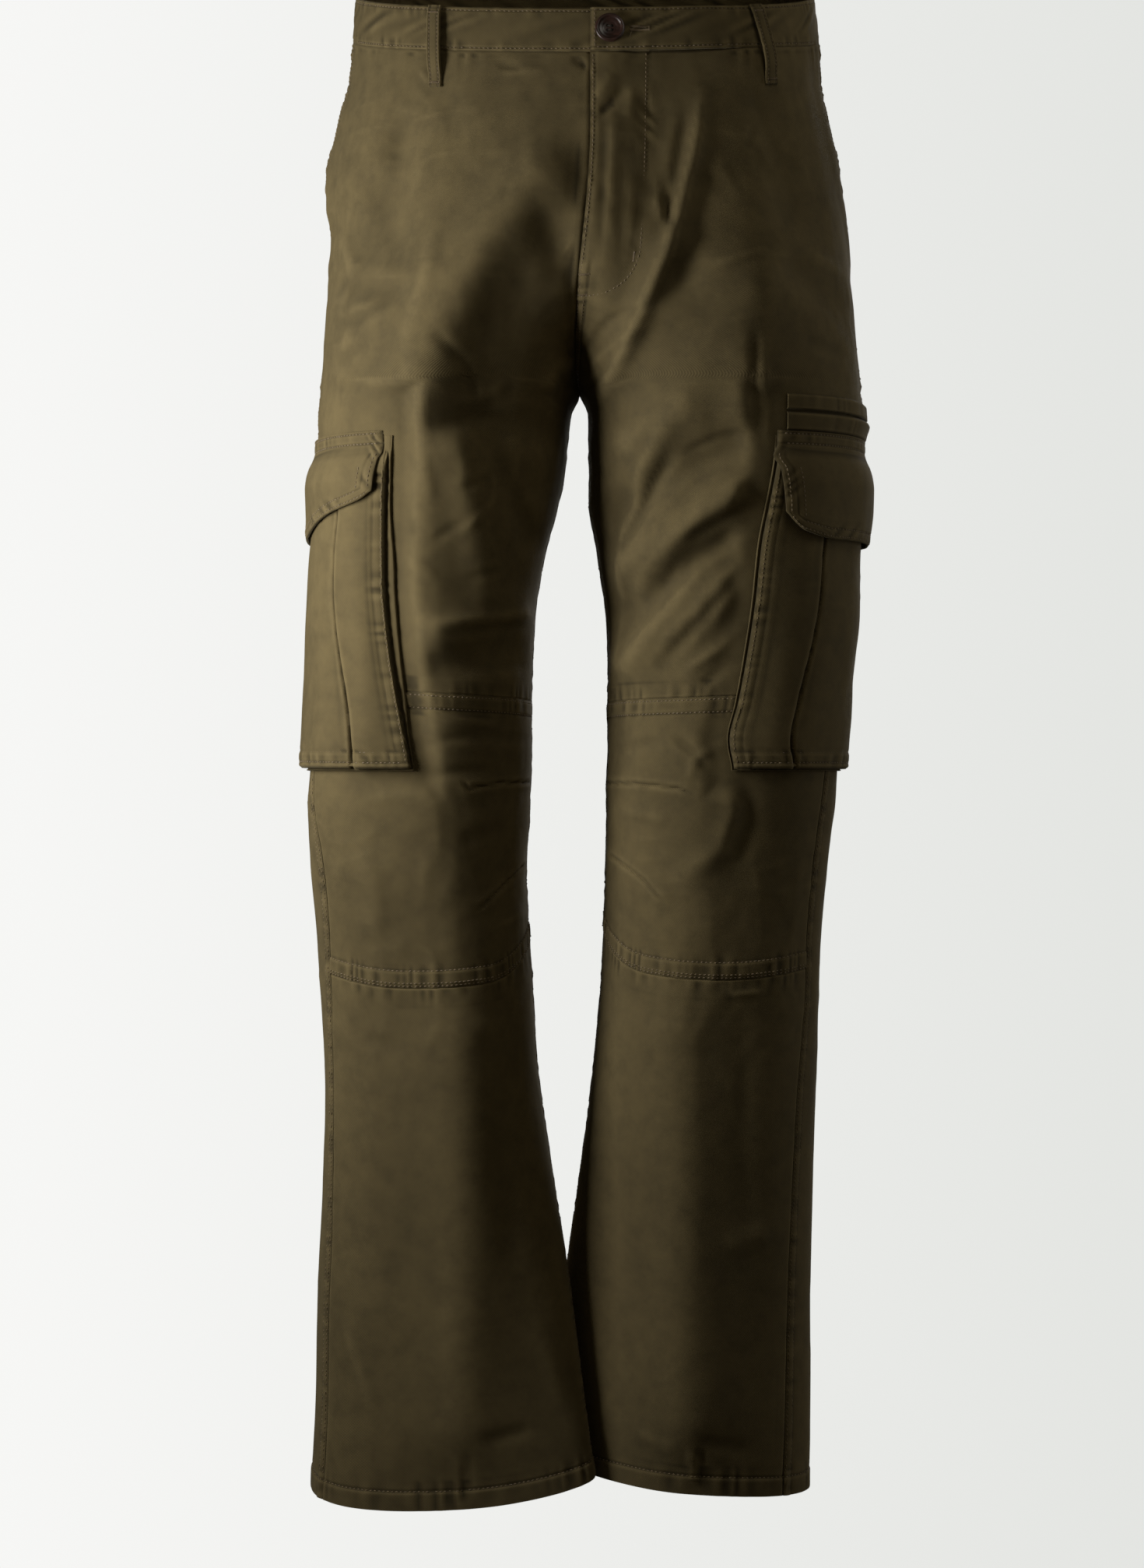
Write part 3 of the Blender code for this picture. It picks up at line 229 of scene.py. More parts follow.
CREASES = {
    (RIGHT, FRONT): (
        (2.5, -1.2, (-59, -69), (-44, -73)), (2.5, -1.2, (-8, -65), (3, -73)),
        (3, 1, (-54, -75), (-27, -74)), (2.5, 1.2, (-113, -70), (-108, -79)),
        (9, -2.2, (-124, -97), (-132, -115), (-134, -132)),
        (10, -2, (-160, -135), (-151, -148), (-130, -198)),
        (14, -3.2, (-127, -140), (-130, -175), (-132, -215)),
        (5, -1.5, (-169, -244), (-152, -240), (-133, -232)),
        (4, 1.6, (-171, -179), (-165, -201), (-170, -232)), (5, -1.3, (-175, -270), (-148, -260)),
        (5, -1.2, (-173, -288), (-148, -294)), (7, 1.2, (-103, -182), (-110, -226), (-125, -269)),
        (3, -1.6, (-83, -277), (-75, -299)), (5, 2.4, (-5, -268), (-19, -274), (-26, -294)),
        (6, -2, (-12, -278), (-21, -298)), (11, -3, (-31, -170), (-15, -203), (-7, -225)),
        (8, 0.5, (-49, -185), (-33, -215), (-25, -246)), (4, -1.2, (-103, -255), (-81, -277)),
        (5, 1.2, (-86, -304), (-54, -293)), (8, 2.6, (-60, -319), (-47, -350), (-34, -379)),
        (4, -1.6, (-103, -318), (-70, -315), (-53, -311)), (2.6, -1.1, (-84, -361), (-67, -353)),
        (2.6, 1, (-60, -347), (-64, -369), (-86, -391)), (3, -1, (-105, -397), (-84, -383)),
        (4.5, 1.6, (-102, -454), (-69, -450), (-33, -445)),
        (4.5, -1.2, (-103, -461), (-69, -457), (-36, -454)), (4, -1, (-123, -367), (-116, -397)),
        (4, 1, (-123, -410), (-103, -423)), (4, -0.9, (-120, -474), (-82, -485), (-36, -482)),
        (3, -0.8, (-81, -422), (-60, -415)), (3, 0.9, (-110, -340), (-106, -367)),
        (4.5, -1.4, (-163, -564), (-125, -560), (-60, -555)), (5, 1.3, (-147, -574), (-104, -569)),
        (10, 1.8, (-155, -611), (-147, -644), (-148, -677)),
        (4, -1, (-126, -540), (-82, -532), (-38, -534)), (4, 1, (-104, -521), (-60, -524)),
        (6, -0.9, (-87, -606), (-55, -595)), (3, 0.8, (-60, -666), (-37, -655)),
        (24, 3.2, (-86, -700), (-86, -835), (-87, -944), (-88, -1068)),
        (32, 7.5, (-122, -262), (-114, -330), (-112, -420), (-104, -520)),
        (30, 5.0, (-106, -490), (-98, -620), (-87, -730)), (2.6, 1.8, (-87, -1037), (-88, -1071)),
        (2.6, -1.6, (-84, -1036), (-84, -1068)), (6, -0.9, (-153, -743), (-126, -754)),
        (5, 0.9, (-170, -945), (-148, -1011)), (9, -1.4, (-55, -748), (-60, -836), (-49, -912)),
        (7, 1, (-33, -945), (-17, -1000), (1, -1033)), (5, -1, (-71, -1027), (-38, -1020)),
    ),
    (LEFT, FRONT): (
        (3.2, -0.6, (14, -114), (11, -199)), (3, 0.5, (20, -108), (18, -188)),
        (2.8, -0.5, (26, -135), (24, -204)), (3, 0.6, (33, -151), (31, -210)),
        (2.8, -0.5, (38, -172), (33, -204)), (3.2, -1.7, (27, -85), (20, -96), (11, -106)),
        (4.5, 1.2, (19, -77), (8, -95)), (4, 1.2, (33, -87), (30, -108)),
        (5, 3.2, (81, -90), (75, -133), (67, -169), (57, -204), (43, -235), (31, -265), (14, -294)),
        (5, -2.4, (71, -100), (65, -138), (58, -172), (50, -196)),
        (3, -1.6, (54, -147), (59, -184)), (3, 1.4, (50, -162), (56, -188)),
        (9, -1, (82, -156), (72, -204), (59, -227)), (11, 2.4, (86, -150), (80, -180), (72, -214)),
        (13, -2.6, (44, -190), (30, -232), (14, -268)), (2.5, 0.8, (88, -211), (120, -201)),
        (3, -0.9, (110, -128), (116, -112)), (3.5, -1.8, (1, -261), (16, -246), (47, -237)),
        (4, 1.6, (5, -273), (26, -257), (46, -250)), (3.5, -1.4, (3, -287), (22, -273)),
        (3.2, -2, (116, -255), (117, -293), (120, -325)),
        (3.5, 1.8, (122, -277), (126, -309), (128, -336)), (3, -1.4, (129, -292), (131, -330)),
        (14, -2, (97, -148), (126, -134)), (5, 1.2, (157, -199), (182, -207)),
        (5, -1.2, (152, -258), (182, -265)), (6.5, 3.2, (60, -317), (40, -350), (27, -392)),
        (4.2, -3, (60, -337), (44, -359), (30, -396)),
        (3.2, -1.6, (68, -337), (91, -327), (115, -323)),
        (7, 2.8, (119, -359), (83, -378), (44, -421), (28, -450)),
        (5, -2.2, (115, -347), (80, -359), (60, -374)),
        (3.6, -1.8, (122, -369), (97, -382), (70, -397)),
        (6, 3, (115, -395), (82, -416), (55, -449), (33, -481)),
        (4.6, -2.6, (116, -412), (84, -449), (55, -482)),
        (4.5, 2.2, (113, -454), (97, -470), (70, -488)), (4, -1.8, (109, -477), (82, -497)),
        (3, 1.4, (27, -411), (25, -488)), (3, -1.2, (21, -372), (24, -422)),
        (3, -1, (65, -411), (52, -432)), (9, 2.8, (95, -550), (105, -582), (95, -611), (70, -631)),
        (8, -1.8, (112, -557), (115, -595), (104, -622)),
        (3.4, -1.6, (64, -534), (77, -544), (88, -557)),
        (3.4, 1.4, (73, -562), (79, -547), (103, -536)), (3, -1.2, (87, -554), (102, -560)),
        (5, 1.2, (27, -584), (60, -591)), (3, 0.9, (102, -714), (126, -712)),
        (4, -0.9, (27, -540), (54, -535)),
        (22, 2.6, (64, -700), (67, -835), (71, -944), (77, -1068)),
        (28, 5.0, (86, -505), (78, -620), (66, -730)), (2.6, 1.8, (76, -1035), (77, -1057)),
        (2.6, -1.8, (81, -1034), (84, -1044)), (8, 1.2, (99, -892), (132, -881)),
        (9, -1.4, (112, -743), (110, -826), (116, -903)), (6, 1, (38, -1022), (65, -1034)),
        (5, -1.2, (82, -1027), (115, -1035)),
    ),
    (RIGHT, BACK): (
        (5, 1.8, (-22, -262), (-64, -282), (-118, -300)), (4, -1.6, (-30, -276), (-84, -304)),
        (6, -1.6, (-60, -140), (-96, -176), (-130, -250)),
        (5, 1.4, (-44, -356), (-92, -372), (-128, -366)), (4, -1.3, (-52, -420), (-100, -436)),
        (4.5, 1.8, (-58, -584), (-110, -592), (-160, -588)),
        (4, -1.8, (-60, -624), (-120, -630), (-168, -622)), (5, 1.4, (-58, -672), (-108, -684)),
        (10, 1.6, (-100, -740), (-104, -860), (-98, -1000)), (3, 1.4, (-96, -1030), (-95, -1062)),
    ),
    (LEFT, BACK): (
        (5, 1.8, (18, -258), (66, -284), (122, -296)), (4, -1.6, (26, -280), (80, -302)),
        (6, -1.6, (52, -150), (92, -190), (128, -236)),
        (5, 1.4, (40, -350), (88, -368), (132, -372)), (4, -1.3, (40, -440), (96, -428)),
        (4.5, 1.8, (40, -578), (90, -588), (146, -582)),
        (4, -1.8, (38, -618), (92, -624), (140, -634)), (5, 1.4, (36, -664), (88, -676)),
        (10, 1.6, (80, -740), (78, -860), (72, -1000)), (3, 1.4, (70, -1026), (71, -1060)),
    ),
}
# Darts at the knees: side, then points (x, z) in mm
DARTS = (
    (LEFT, (18, -565), (44, -566), (68, -569), (76, -573)),
    (LEFT, (20, -617), (42, -633), (57, -648)),
    (RIGHT, (-36, -565), (-58, -565), (-82, -569), (-86, -563)),
    (RIGHT, (-43, -624), (-60, -640), (-76, -654)),
)

# ---- Tables, sections and folds ------------------------------------------------------------------


def columns(table, names):
    return dict(zip(names, np.array(table, float).T))


def curve(places, values, at):
    """A smooth line through the rows that never swings past them."""
    order = np.argsort(places)
    places = np.asarray(places, float)[order]
    values = np.asarray(values, float)[order]
    steps = np.diff(places)
    slopes = np.diff(values) / steps
    tangents = np.concatenate([slopes[:1], np.zeros(len(slopes) - 1), slopes[-1:]])
    same_way = slopes[:-1] * slopes[1:] > 0
    total = np.where(same_way, slopes[:-1] + slopes[1:], 1)
    tangents[1:-1] = np.where(same_way, 2 * slopes[:-1] * slopes[1:] / total, 0)
    at = np.clip(at, places[0], places[-1])
    row = np.clip(np.searchsorted(places, at, side="right") - 1, 0, len(steps) - 1)
    t = (at - places[row]) / steps[row]
    start = values[row] * (1 + 2 * t) * (1 - t) ** 2
    end = values[row + 1] * t**2 * (3 - 2 * t)
    leave = tangents[row] * steps[row] * t * (1 - t) ** 2
    arrive = tangents[row + 1] * steps[row] * t**2 * (t - 1)
    return start + end + leave + arrive


def read(table, level):
    """The value at a level, from rows of level and value in mm."""
    levels, values = np.array(table, float).T * MM
    return curve(levels, values, level)


def fade(value, low, high):
    t = np.clip((value - low) / (high - low), 0, 1)
    return t * t * (3 - 2 * t)


def bump(distance, width):
    return np.exp(-((distance / width) ** 2))


def ring_table(side):
    torso = columns(TORSO, TORSO_COLUMNS)
    edge = torso["right"] + torso["middle"] if side == RIGHT else torso["left"] - torso["middle"]
    half_width = (edge - SEAM_GAP / 2 / MM) / (1 + torso["share"])
    centre = torso["middle"] + side * (edge - half_width)
    leg = columns(LEGS[side], LEG_COLUMNS)
    none = np.zeros(len(TORSO))
    front = np.concatenate([torso["front"], leg["front"]])
    back = np.concatenate([torso["back"], leg["back"]])
    return {
        "level": np.concatenate([torso["level"], leg["level"]]) * MM,
        "centre": np.concatenate([centre, side * (leg["outer"] + leg["inner"]) / 2]) * MM,
        "half_width": np.concatenate([half_width, (leg["outer"] - leg["inner"]) / 2]) * MM,
        "depth": (front + back) / 2 * MM,
        "half_depth": (back - front) / 2 * MM,
        "pitch": np.concatenate([torso["pitch"], leg["pitch"]]),
        "rise": np.concatenate([none, leg["rise"]]) * MM,
        "carry": np.concatenate([none, leg["carry"]]) * MM,
        "press": np.concatenate([none, leg["press"]]),
    }


RINGS = {side: ring_table(side) for side in (RIGHT, LEFT)}


def section(side, level):
    rings = RINGS[side]
    return {name: curve(rings["level"], rings[name], level) for name in rings if name != "level"}


def middle_at(level):
    torso = columns(TORSO, TORSO_COLUMNS)
    return curve(torso["level"] * MM, torso["middle"] * MM, level)


def base_point(side, angle, level):
    """A point of the smooth form. The angle is 0 at the outer edge, 90 degrees in front."""
    ring = section(side, level)
    across = np.cos(angle) * (1 + SQUARENESS * np.sin(angle) ** 2)
    forward = np.sin(angle) * (1 + SQUARENESS * np.cos(angle) ** 2)
    inward = np.clip(-across, 0, 1)
    x = ring["centre"] + side * ring["half_width"] * across
    y = ring["depth"] - ring["half_depth"] * forward * (1 - ring["press"] * inward**2)
    z = level + ring["pitch"] * y - ring["rise"] * across / 2
    y = y + ring["carry"] * inward**1.5
    return np.stack([x, y, z], axis=-1)


def base_normal(side, angle, level):
    around = base_point(side, angle + 1e-3, level) - base_point(side, angle - 1e-3, level)
    down = base_point(side, angle, level - MM) - base_point(side, angle, level + MM)
    normal = np.cross(around, down) * side
    return normal / np.linalg.norm(normal, axis=-1, keepdims=True)


def angle_speed(side, angle, level):
    ends = base_point(side, angle + 1e-3, level) - base_point(side, angle - 1e-3, level)
    return np.linalg.norm(ends, axis=-1) / 2e-3


def angle_at(side, level, x):
    ring = section(side, level)
    across = np.clip(side * (x - ring["centre"]) / ring["half_width"], -1, 1)
    angle = np.arccos(across)
    for _ in range(12):
        angle = np.arccos(np.clip(across / (1 + SQUARENESS * np.sin(angle) ** 2), -1, 1))
    return angle


def path_distance(x, z, path):
    """Distance from a path seen from the front, and how far along it the nearest point lies."""
    path = np.array(path, float)
    lengths = np.hypot(*np.diff(path, axis=0).T)
    reached = np.concatenate([[0], np.cumsum(lengths)])
    nearest = np.full(np.shape(x), np.inf)
    share = np.zeros(np.shape(x))
    for (x0, z0), (x1, z1), length, before in zip(path, path[1:], lengths, reached):
        t = np.clip(((x - x0) * (x1 - x0) + (z - z0) * (z1 - z0)) / length**2, 0, 1)
        distance = np.hypot(x - x0 - t * (x1 - x0), z - z0 - t * (z1 - z0))
        closer = distance < nearest
        nearest = np.where(closer, distance, nearest)
        share = np.where(closer, (before + t * length) / reached[-1], share)
    return nearest, share


def pocket_room(side, angle, level):
    """0 under the cargo pocket, where the leg lies smooth, and 1 clear of it."""
    beyond = np.maximum(angle - bag_angle(side, level, 1.0), math.radians(BAG_REAR_ANGLE) - angle)
    across = fade(beyond * 90 * MM, 9 * MM, 25 * MM)
    above = fade(level, -300 * MM, -284 * MM)
    below = fade(-level, 564 * MM, 580 * MM)
    return np.maximum(across, np.maximum(above, below))


def rows_of(table, side):
    for face in (FRONT, BACK):
        for width, rise, *path in table[side, face]:
            yield face, width, rise, path


def fold_height(side, angle, level, points, normals):
    """The broad folds of the form."""
    x, z = points[..., 0] / MM, points[..., 2] / MM
    height = np.zeros_like(x)
    for face, width, rise, path in rows_of(FOLDS, side):
        distance, _ = path_distance(x, z, path)
        height += rise * bump(distance, width) * fade(-face * normals[..., 1], 0.05, 0.6)
    from_middle = np.abs(points[..., 0] - middle_at(level))
    room = fade(from_middle, 0, 18 * MM)
    return height * room * pocket_room(side, angle, level) * MM


def crease_height(side, angle, level, points, normals):
    """Small creases and broad soft ridges, faded at their ends."""
    x, z = points[..., 0] / MM, points[..., 2] / MM
    height = np.zeros_like(x)
    for face, width, rise, path in rows_of(CREASES, side):
        heights = [point[1] for point in path]
        if np.abs(z - np.mean(heights)).min() >= 4 * width + np.ptp(heights):
            continue
        distance, share = path_distance(x, z, path)
        ends = fade(share, -0.12, 0.22) * fade(1 - share, -0.12, 0.22)
        height += rise * bump(distance, width) * ends * fade(-face * normals[..., 1], 0.02, 0.4)
    room = fade(np.abs(points[..., 0] - middle_at(level)), 0, 5 * MM)
    room = np.where(level < -285 * MM, 1, room)
    return height * room * (0.25 + 0.75 * pocket_room(side, angle, level)) * MM


# ---- Noise ---------------------------------------------------------------------------------------


def lattice(i, j, k, seed):
    n = (i * 73856093) ^ (j * 19349663) ^ (k * 83492791) ^ (seed * 2654435761)
    n = n & 0xFFFFFFFF
    n = ((n ^ (n >> 15)) * 2246822519) & 0xFFFFFFFF
    n = ((n ^ (n >> 13)) * 3266489917) & 0xFFFFFFFF
    return ((n ^ (n >> 16)) & 0xFFFF) / 32767.5 - 1


def noise(points, size, seed):
    """Smooth noise from -1 to 1. size is its grain along x, y and z."""
    p = points / np.asarray(size)
    cell = np.floor(p).astype(np.int64)
    t = p - cell
    t = t * t * t * (t * (6 * t - 15) + 10)
    total = 0
    for corner in range(8):
        a, b, c = corner & 1, corner >> 1 & 1, corner >> 2 & 1
        weight = (t[..., 0] if a else 1 - t[..., 0]) * (t[..., 1] if b else 1 - t[..., 1])
        weight = weight * (t[..., 2] if c else 1 - t[..., 2])
        total = total + weight * lattice(cell[..., 0] + a, cell[..., 1] + b, cell[..., 2] + c, seed)
    return total


def crumple(points, seed):
    """Slight unevenness of washed twill: slow swells and faint crisp creases, in metres."""
    warp = points + 0.012 * np.stack([noise(points, 0.06, seed + k) for k in (1, 2, 3)], axis=-1)
    slow = 0.9 * noise(points, (0.075, 0.075, 0.12), seed + 4)
    middle = 0.48 * noise(warp, (0.024, 0.024, 0.045), seed + 5)
    crisp = 1 - 2.4 * np.abs(noise(warp, (0.032, 0.032, 0.05), seed + 6))
    calm = fade(noise(points, 0.11, seed + 7), -0.35, 0.6)
    fine = 0.19 * noise(warp, (0.008, 0.008, 0.012), seed + 8)
    drag = np.maximum(1 - 3.2 * np.abs(noise(warp, (0.05, 0.05, 0.016), seed + 9)), -0.3)
    dragged = fade(noise(points, (0.09, 0.09, 0.06), seed + 10), -0.05, 0.55)
    crisp = 0.5 * np.maximum(crisp, -0.4) * calm + 0.3 * drag * dragged
    return (slow + middle + crisp + fine * (0.5 + calm)) * MM


def pucker(along, length, seed):
    """Uneven waves along a seam, from -1 to 1."""
    turn = 2 * math.pi * along / length
    drift = 2.6 * np.sin(turn / 4.7 + seed) + 1.5 * np.sin(turn / 2.3 + 2.1 * seed)
    strength = 0.55 + 0.3 * np.sin(turn / 6.3 + 3.3 * seed) + 0.25 * np.sin(turn / 2.9 + 1.7 * seed)
    return np.sin(turn + drift) * strength


# ---- Edges of the panels -------------------------------------------------------------------------


def seam_angle(side, level):
    seam = columns(SIDE_SEAM, SEAM_COLUMNS)
    return np.radians(curve(seam["level"] * MM, seam[NAMES[side]], level))


def mouth_angle(level):
    mouth = columns(POCKET_MOUTH, ("level", "angle"))
    return np.radians(curve(mouth["level"] * MM, mouth["angle"], level))


def front_outer_angle(side, level):
    seam = seam_angle(side, level)
    return np.where(level > MOUTH_END, np.maximum(mouth_angle(level), seam), seam)


def inner_angle(side, level):
    plane = middle_at(level) + side * SEAM_GAP / 2
    centre_seam = angle_at(side, level, plane)
    inseam = math.pi - SEAM_GAP / 2 / angle_speed(side, math.pi, level)
    return np.where(level > CROTCH, np.minimum(centre_seam, inseam), inseam)


def knee_level(side, place, which):
    seams = columns(KNEE_SEAMS[side], ("place", "upper", "lower"))
    return curve(seams["place"], seams[which] * MM, place)


def bag_angle(side, level, place):
    front = angle_at(side, level, side * read(BAG_FRONT_EDGE[side], level))
    rear = math.radians(BAG_REAR_ANGLE)
    return rear + (front - rear) * place


def edge_lift(side, angle, level):
    """How a front's edge stands off the facing and, on the left, off the right front."""
    from_mouth = np.abs(angle - front_outer_angle(side, level)) * angle_speed(side, angle, level)
    open_mouth = fade(level, MOUTH_END - 12 * MM, MOUTH_END + 4 * MM)
    lift = 1.9 * MM * open_mouth * (1 - fade(from_mouth, 12 * MM, 36 * MM))
    if side == LEFT:
        from_fly = np.abs(inner_angle(side, level) - angle) * angle_speed(side, angle, level)
        fly = fade(level, FLY_END - 22 * MM, FLY_END)
        lift = lift + 1.9 * MM * fly * (1 - fade(from_fly, 12 * MM, 36 * MM))
    return lift


# ---- Relief of each piece: how far its outer face stands off the smooth form ---------------------


def cloth_relief(side, angle, level, points, normals):
    """Folds, creases and the cloth's own unevenness, common to all that lies on a leg."""
    calm = 0.35 + 0.65 * fade(-level, 40 * MM, 80 * MM)
    uneven = crumple(points, 11 + side) * (calm * (1 - 0.6 * fade(-level, 690 * MM, 780 * MM)))
    return (
        fold_height(side, angle, level, points, normals)
        + crease_height(side, angle, level, points, normals)
        + uneven * (0.3 + 0.7 * pocket_room(side, angle, level))
    )


def strip(distance, along, width, rise, ripple, length, seed):
    """A topstitched seam allowance beside an edge: raised, rippled, pulled in by its stitches."""
    raised = rise * (1 - fade(distance, width - 0.3 * MM, width + 1.2 * MM))
    waves = ripple * pucker(along, length, seed) * bump(distance - width / 2, 0.62 * width)
    grooves = bump(distance - width, 0.9 * MM) + 0.7 * bump(distance - 1.6 * MM, 0.8 * MM)
    pulled = -0.6 * MM * grooves
    rolled = -0.9 * MM * bump(distance, 0.9 * MM)
    return raised + waves + pulled + rolled


def under(distance, depth):
    """How far an edge sinks where it runs under its neighbour."""
    return depth * MM * (1 - fade(distance, -0.5 * MM, 0.6 * MM))


def measures(side, angle, level):
    """Distances from the edges of a front or back, in metres, and its place across."""
    speed = angle_speed(side, angle, level)
    outer = front_outer_angle(side, level)
    inner = inner_angle(side, level)
    place = (angle - outer) / (inner - outer)
    return (angle - outer) * speed, (inner - np.abs(angle)) * speed, place


def waist_relief(level, along, seed):
    """Under the waistband: tucked in, with short pulls hanging from the seam."""
    down = BAND_SEAM - level
    tucked = -0.5 * MM * (1 - fade(down, -0.2 * MM, 0.8 * MM))
    pulls = 0.45 * MM * pucker(along, 14 * MM, seed) * fade(down, 0, 3 * MM) * bump(down, 13 * MM)
    return tucked + pulls


def front_relief(side, angle, level, points, normals):
    from_outer, from_inner, place = measures(side, angle, level)
    relief = cloth_relief(side, angle, level, points, normals) + edge_lift(side, angle, level)
    relief += waist_relief(level, angle * 0.12, 1.0 + side)
    mouth = fade(level, MOUTH_END - 3 * MM, MOUTH_END + 3 * MM)
    relief += mouth * strip(from_outer, level, 7.5 * MM, 0.35 * MM, 0.5 * MM, 11 * MM, 2.0)
    relief -= (1 - mouth) * under(from_outer, 1.3)
    below = level - knee_level(side, place, "upper")
    relief -= 1.2 * MM * (1 - fade(below, -0.6 * MM, 0.6 * MM))
    relief += 0.55 * MM * pucker(place * 0.2, 10 * MM, 4.0 + side) * bump(below, 7 * MM)
    leg = fade(-level, 290 * MM, 310 * MM)
    relief += leg * 0.35 * MM * pucker(level, 12 * MM, 5.0) * bump(from_inner, 7 * MM)
    relief -= leg * under(from_inner, 1.2)
    seat = 1 - fade(-level, 270 * MM, 284 * MM)
    if side == LEFT:
        fly = fade(level, FLY_END - 4 * MM, FLY_END + 4 * MM)
        seam = strip(from_inner, level, 7.5 * MM, 0.7 * MM, 0.45 * MM, 12 * MM, 6.0)
        relief += seat * (1 - fly) * seam
        relief += seat * fly * strip(from_inner, level, 3.0 * MM, 0.3 * MM, 0.5 * MM, 17 * MM, 7.0)
        stitched = from_inner - fly_width(level)
        relief -= 0.6 * MM * seat * bump(stitched, 1.0 * MM) * fade(level, -223 * MM, -219 * MM)
        pulls = pucker(level + from_inner, 22 * MM, 3.0)
        relief += 0.7 * MM * seat * pulls * bump(stitched, 5 * MM) * fly
    else:
        relief -= 0.9 * MM * seat * (1 - fade(from_inner, -1 * MM, 2.5 * MM))
    return relief


def fly_width(level):
    """How far the fly's J-stitch runs from its edge."""
    return read(FLY_STITCH, level)


def knee_relief(side, angle, level, points, normals):
    from_outer, from_inner, place = measures(side, angle, level)
    relief = cloth_relief(side, angle, level, points, normals)
    top = knee_level(side, place, "upper") - level
    foot = level - knee_level(side, place, "lower")
    relief += strip(top, place * 0.2, 11 * MM, 0.55 * MM, 0.45 * MM, 11 * MM, 1.0 + side)
    relief += strip(foot, place * 0.2, 12 * MM, 0.8 * MM, 0.7 * MM, 8.5 * MM, 2.4 + side)
    relief -= under(from_outer, 1.3)
    relief += 0.35 * MM * pucker(level, 12 * MM, 5.0) * bump(from_inner, 7 * MM)
    relief -= under(from_inner, 1.2)
    x, z = points[..., 0] / MM, points[..., 2] / MM
    for dart_side, *path in DARTS:
        if dart_side == side:
            distance, share = path_distance(x, z, path)
            keep = fade(1 - share, -0.02, 0.12) * fade(-normals[..., 1], 0.0, 0.2)
            relief += (0.9 * bump(distance, 5) - 2.3 * bump(distance, 1.0)) * keep * MM
    return relief


def shin_relief(side, angle, level, points, normals):
    from_outer, from_inner, place = measures(side, angle, level)
    relief = cloth_relief(side, angle, level, points, normals)
    relief -= 1.3 * MM * fade(level - knee_level(side, place, "lower"), -0.6 * MM, 0.6 * MM)
    below = knee_level(side, place, "lower") - level
    pulls = pucker(place * 0.2, 10 * MM, 2.4 + side) * bump(below, 8 * MM) * fade(below, 0, 2 * MM)
    relief += 0.55 * MM * pulls
    relief -= under(from_outer, 1.3)
    low = fade(-level, 930 * MM, 1010 * MM)
    pulls = pucker(level, 12 * MM, 5.0)
    relief += (0.35 + 0.4 * low) * MM * pulls * bump(from_inner - 2 * MM, 7 * MM)
    relief -= under(from_inner, 1.2)
    return relief + hem_relief(side, level, angle, 3.0)


def hem_relief(side, level, angle, seed):
    """A turned hem: full below its stitch row, pinched at it."""
    up = level - HEM[side]
    waves = 0.6 * MM * pucker(angle * 0.09, 17 * MM, seed + side) * bump(up - 9 * MM, 9 * MM)
    full = 0.55 * MM * (1 - fade(up, 11.5 * MM, 14 * MM))
    return full - 0.65 * MM * bump(up - HEM_STITCH, 1.1 * MM) + waves


def back_relief(side, angle, level, points, normals):
    speed = angle_speed(side, angle, level)
    from_seam = (seam_angle(side, level) - angle) * speed
    from_inner = (inner_angle(side, level) + angle) * speed
    relief = cloth_relief(side, angle, level, points, normals)
    relief += waist_relief(level, angle * 0.12, 4.0 + side)
    mouth = fade(level, MOUTH_END - 3 * MM, MOUTH_END + 3 * MM)
    seam = strip(from_seam, level, 6.8 * MM, 0.75 * MM, 0.65 * MM, 9.5 * MM, 1.5)
    relief += seam * (1 - 0.4 * mouth)
    seat = fade(level, -284 * MM, -275 * MM)
    if side == LEFT:
        relief += seat * strip(from_inner, level, 8 * MM, 0.7 * MM, 0.3 * MM, 12 * MM, 8.0)
    else:
        relief -= 0.8 * MM * seat * bump(from_inner, 2 * MM)
    leg = 1 - seat
    relief += leg * strip(from_inner, level, 7 * MM, 0.4 * MM, 0.35 * MM, 12 * MM, 9.0)
    return relief + hem_relief(side, level, angle, 6.0)


def facing_relief(side, angle, level, points, normals):
    relief = cloth_relief(side, angle, level, points, normals)
    relief = relief + waist_relief(level, angle * 0.12, 2.0)
    from_seam = (angle - seam_angle(side, level)) * angle_speed(side, angle, level)
    return relief - under(from_seam, 1.2)


def bag_head(level):
    rows = columns(BAG_HEAD_ROWS, ("level", "lift"))
    return np.interp(-level, -rows["level"] * MM, rows["lift"] * MM)


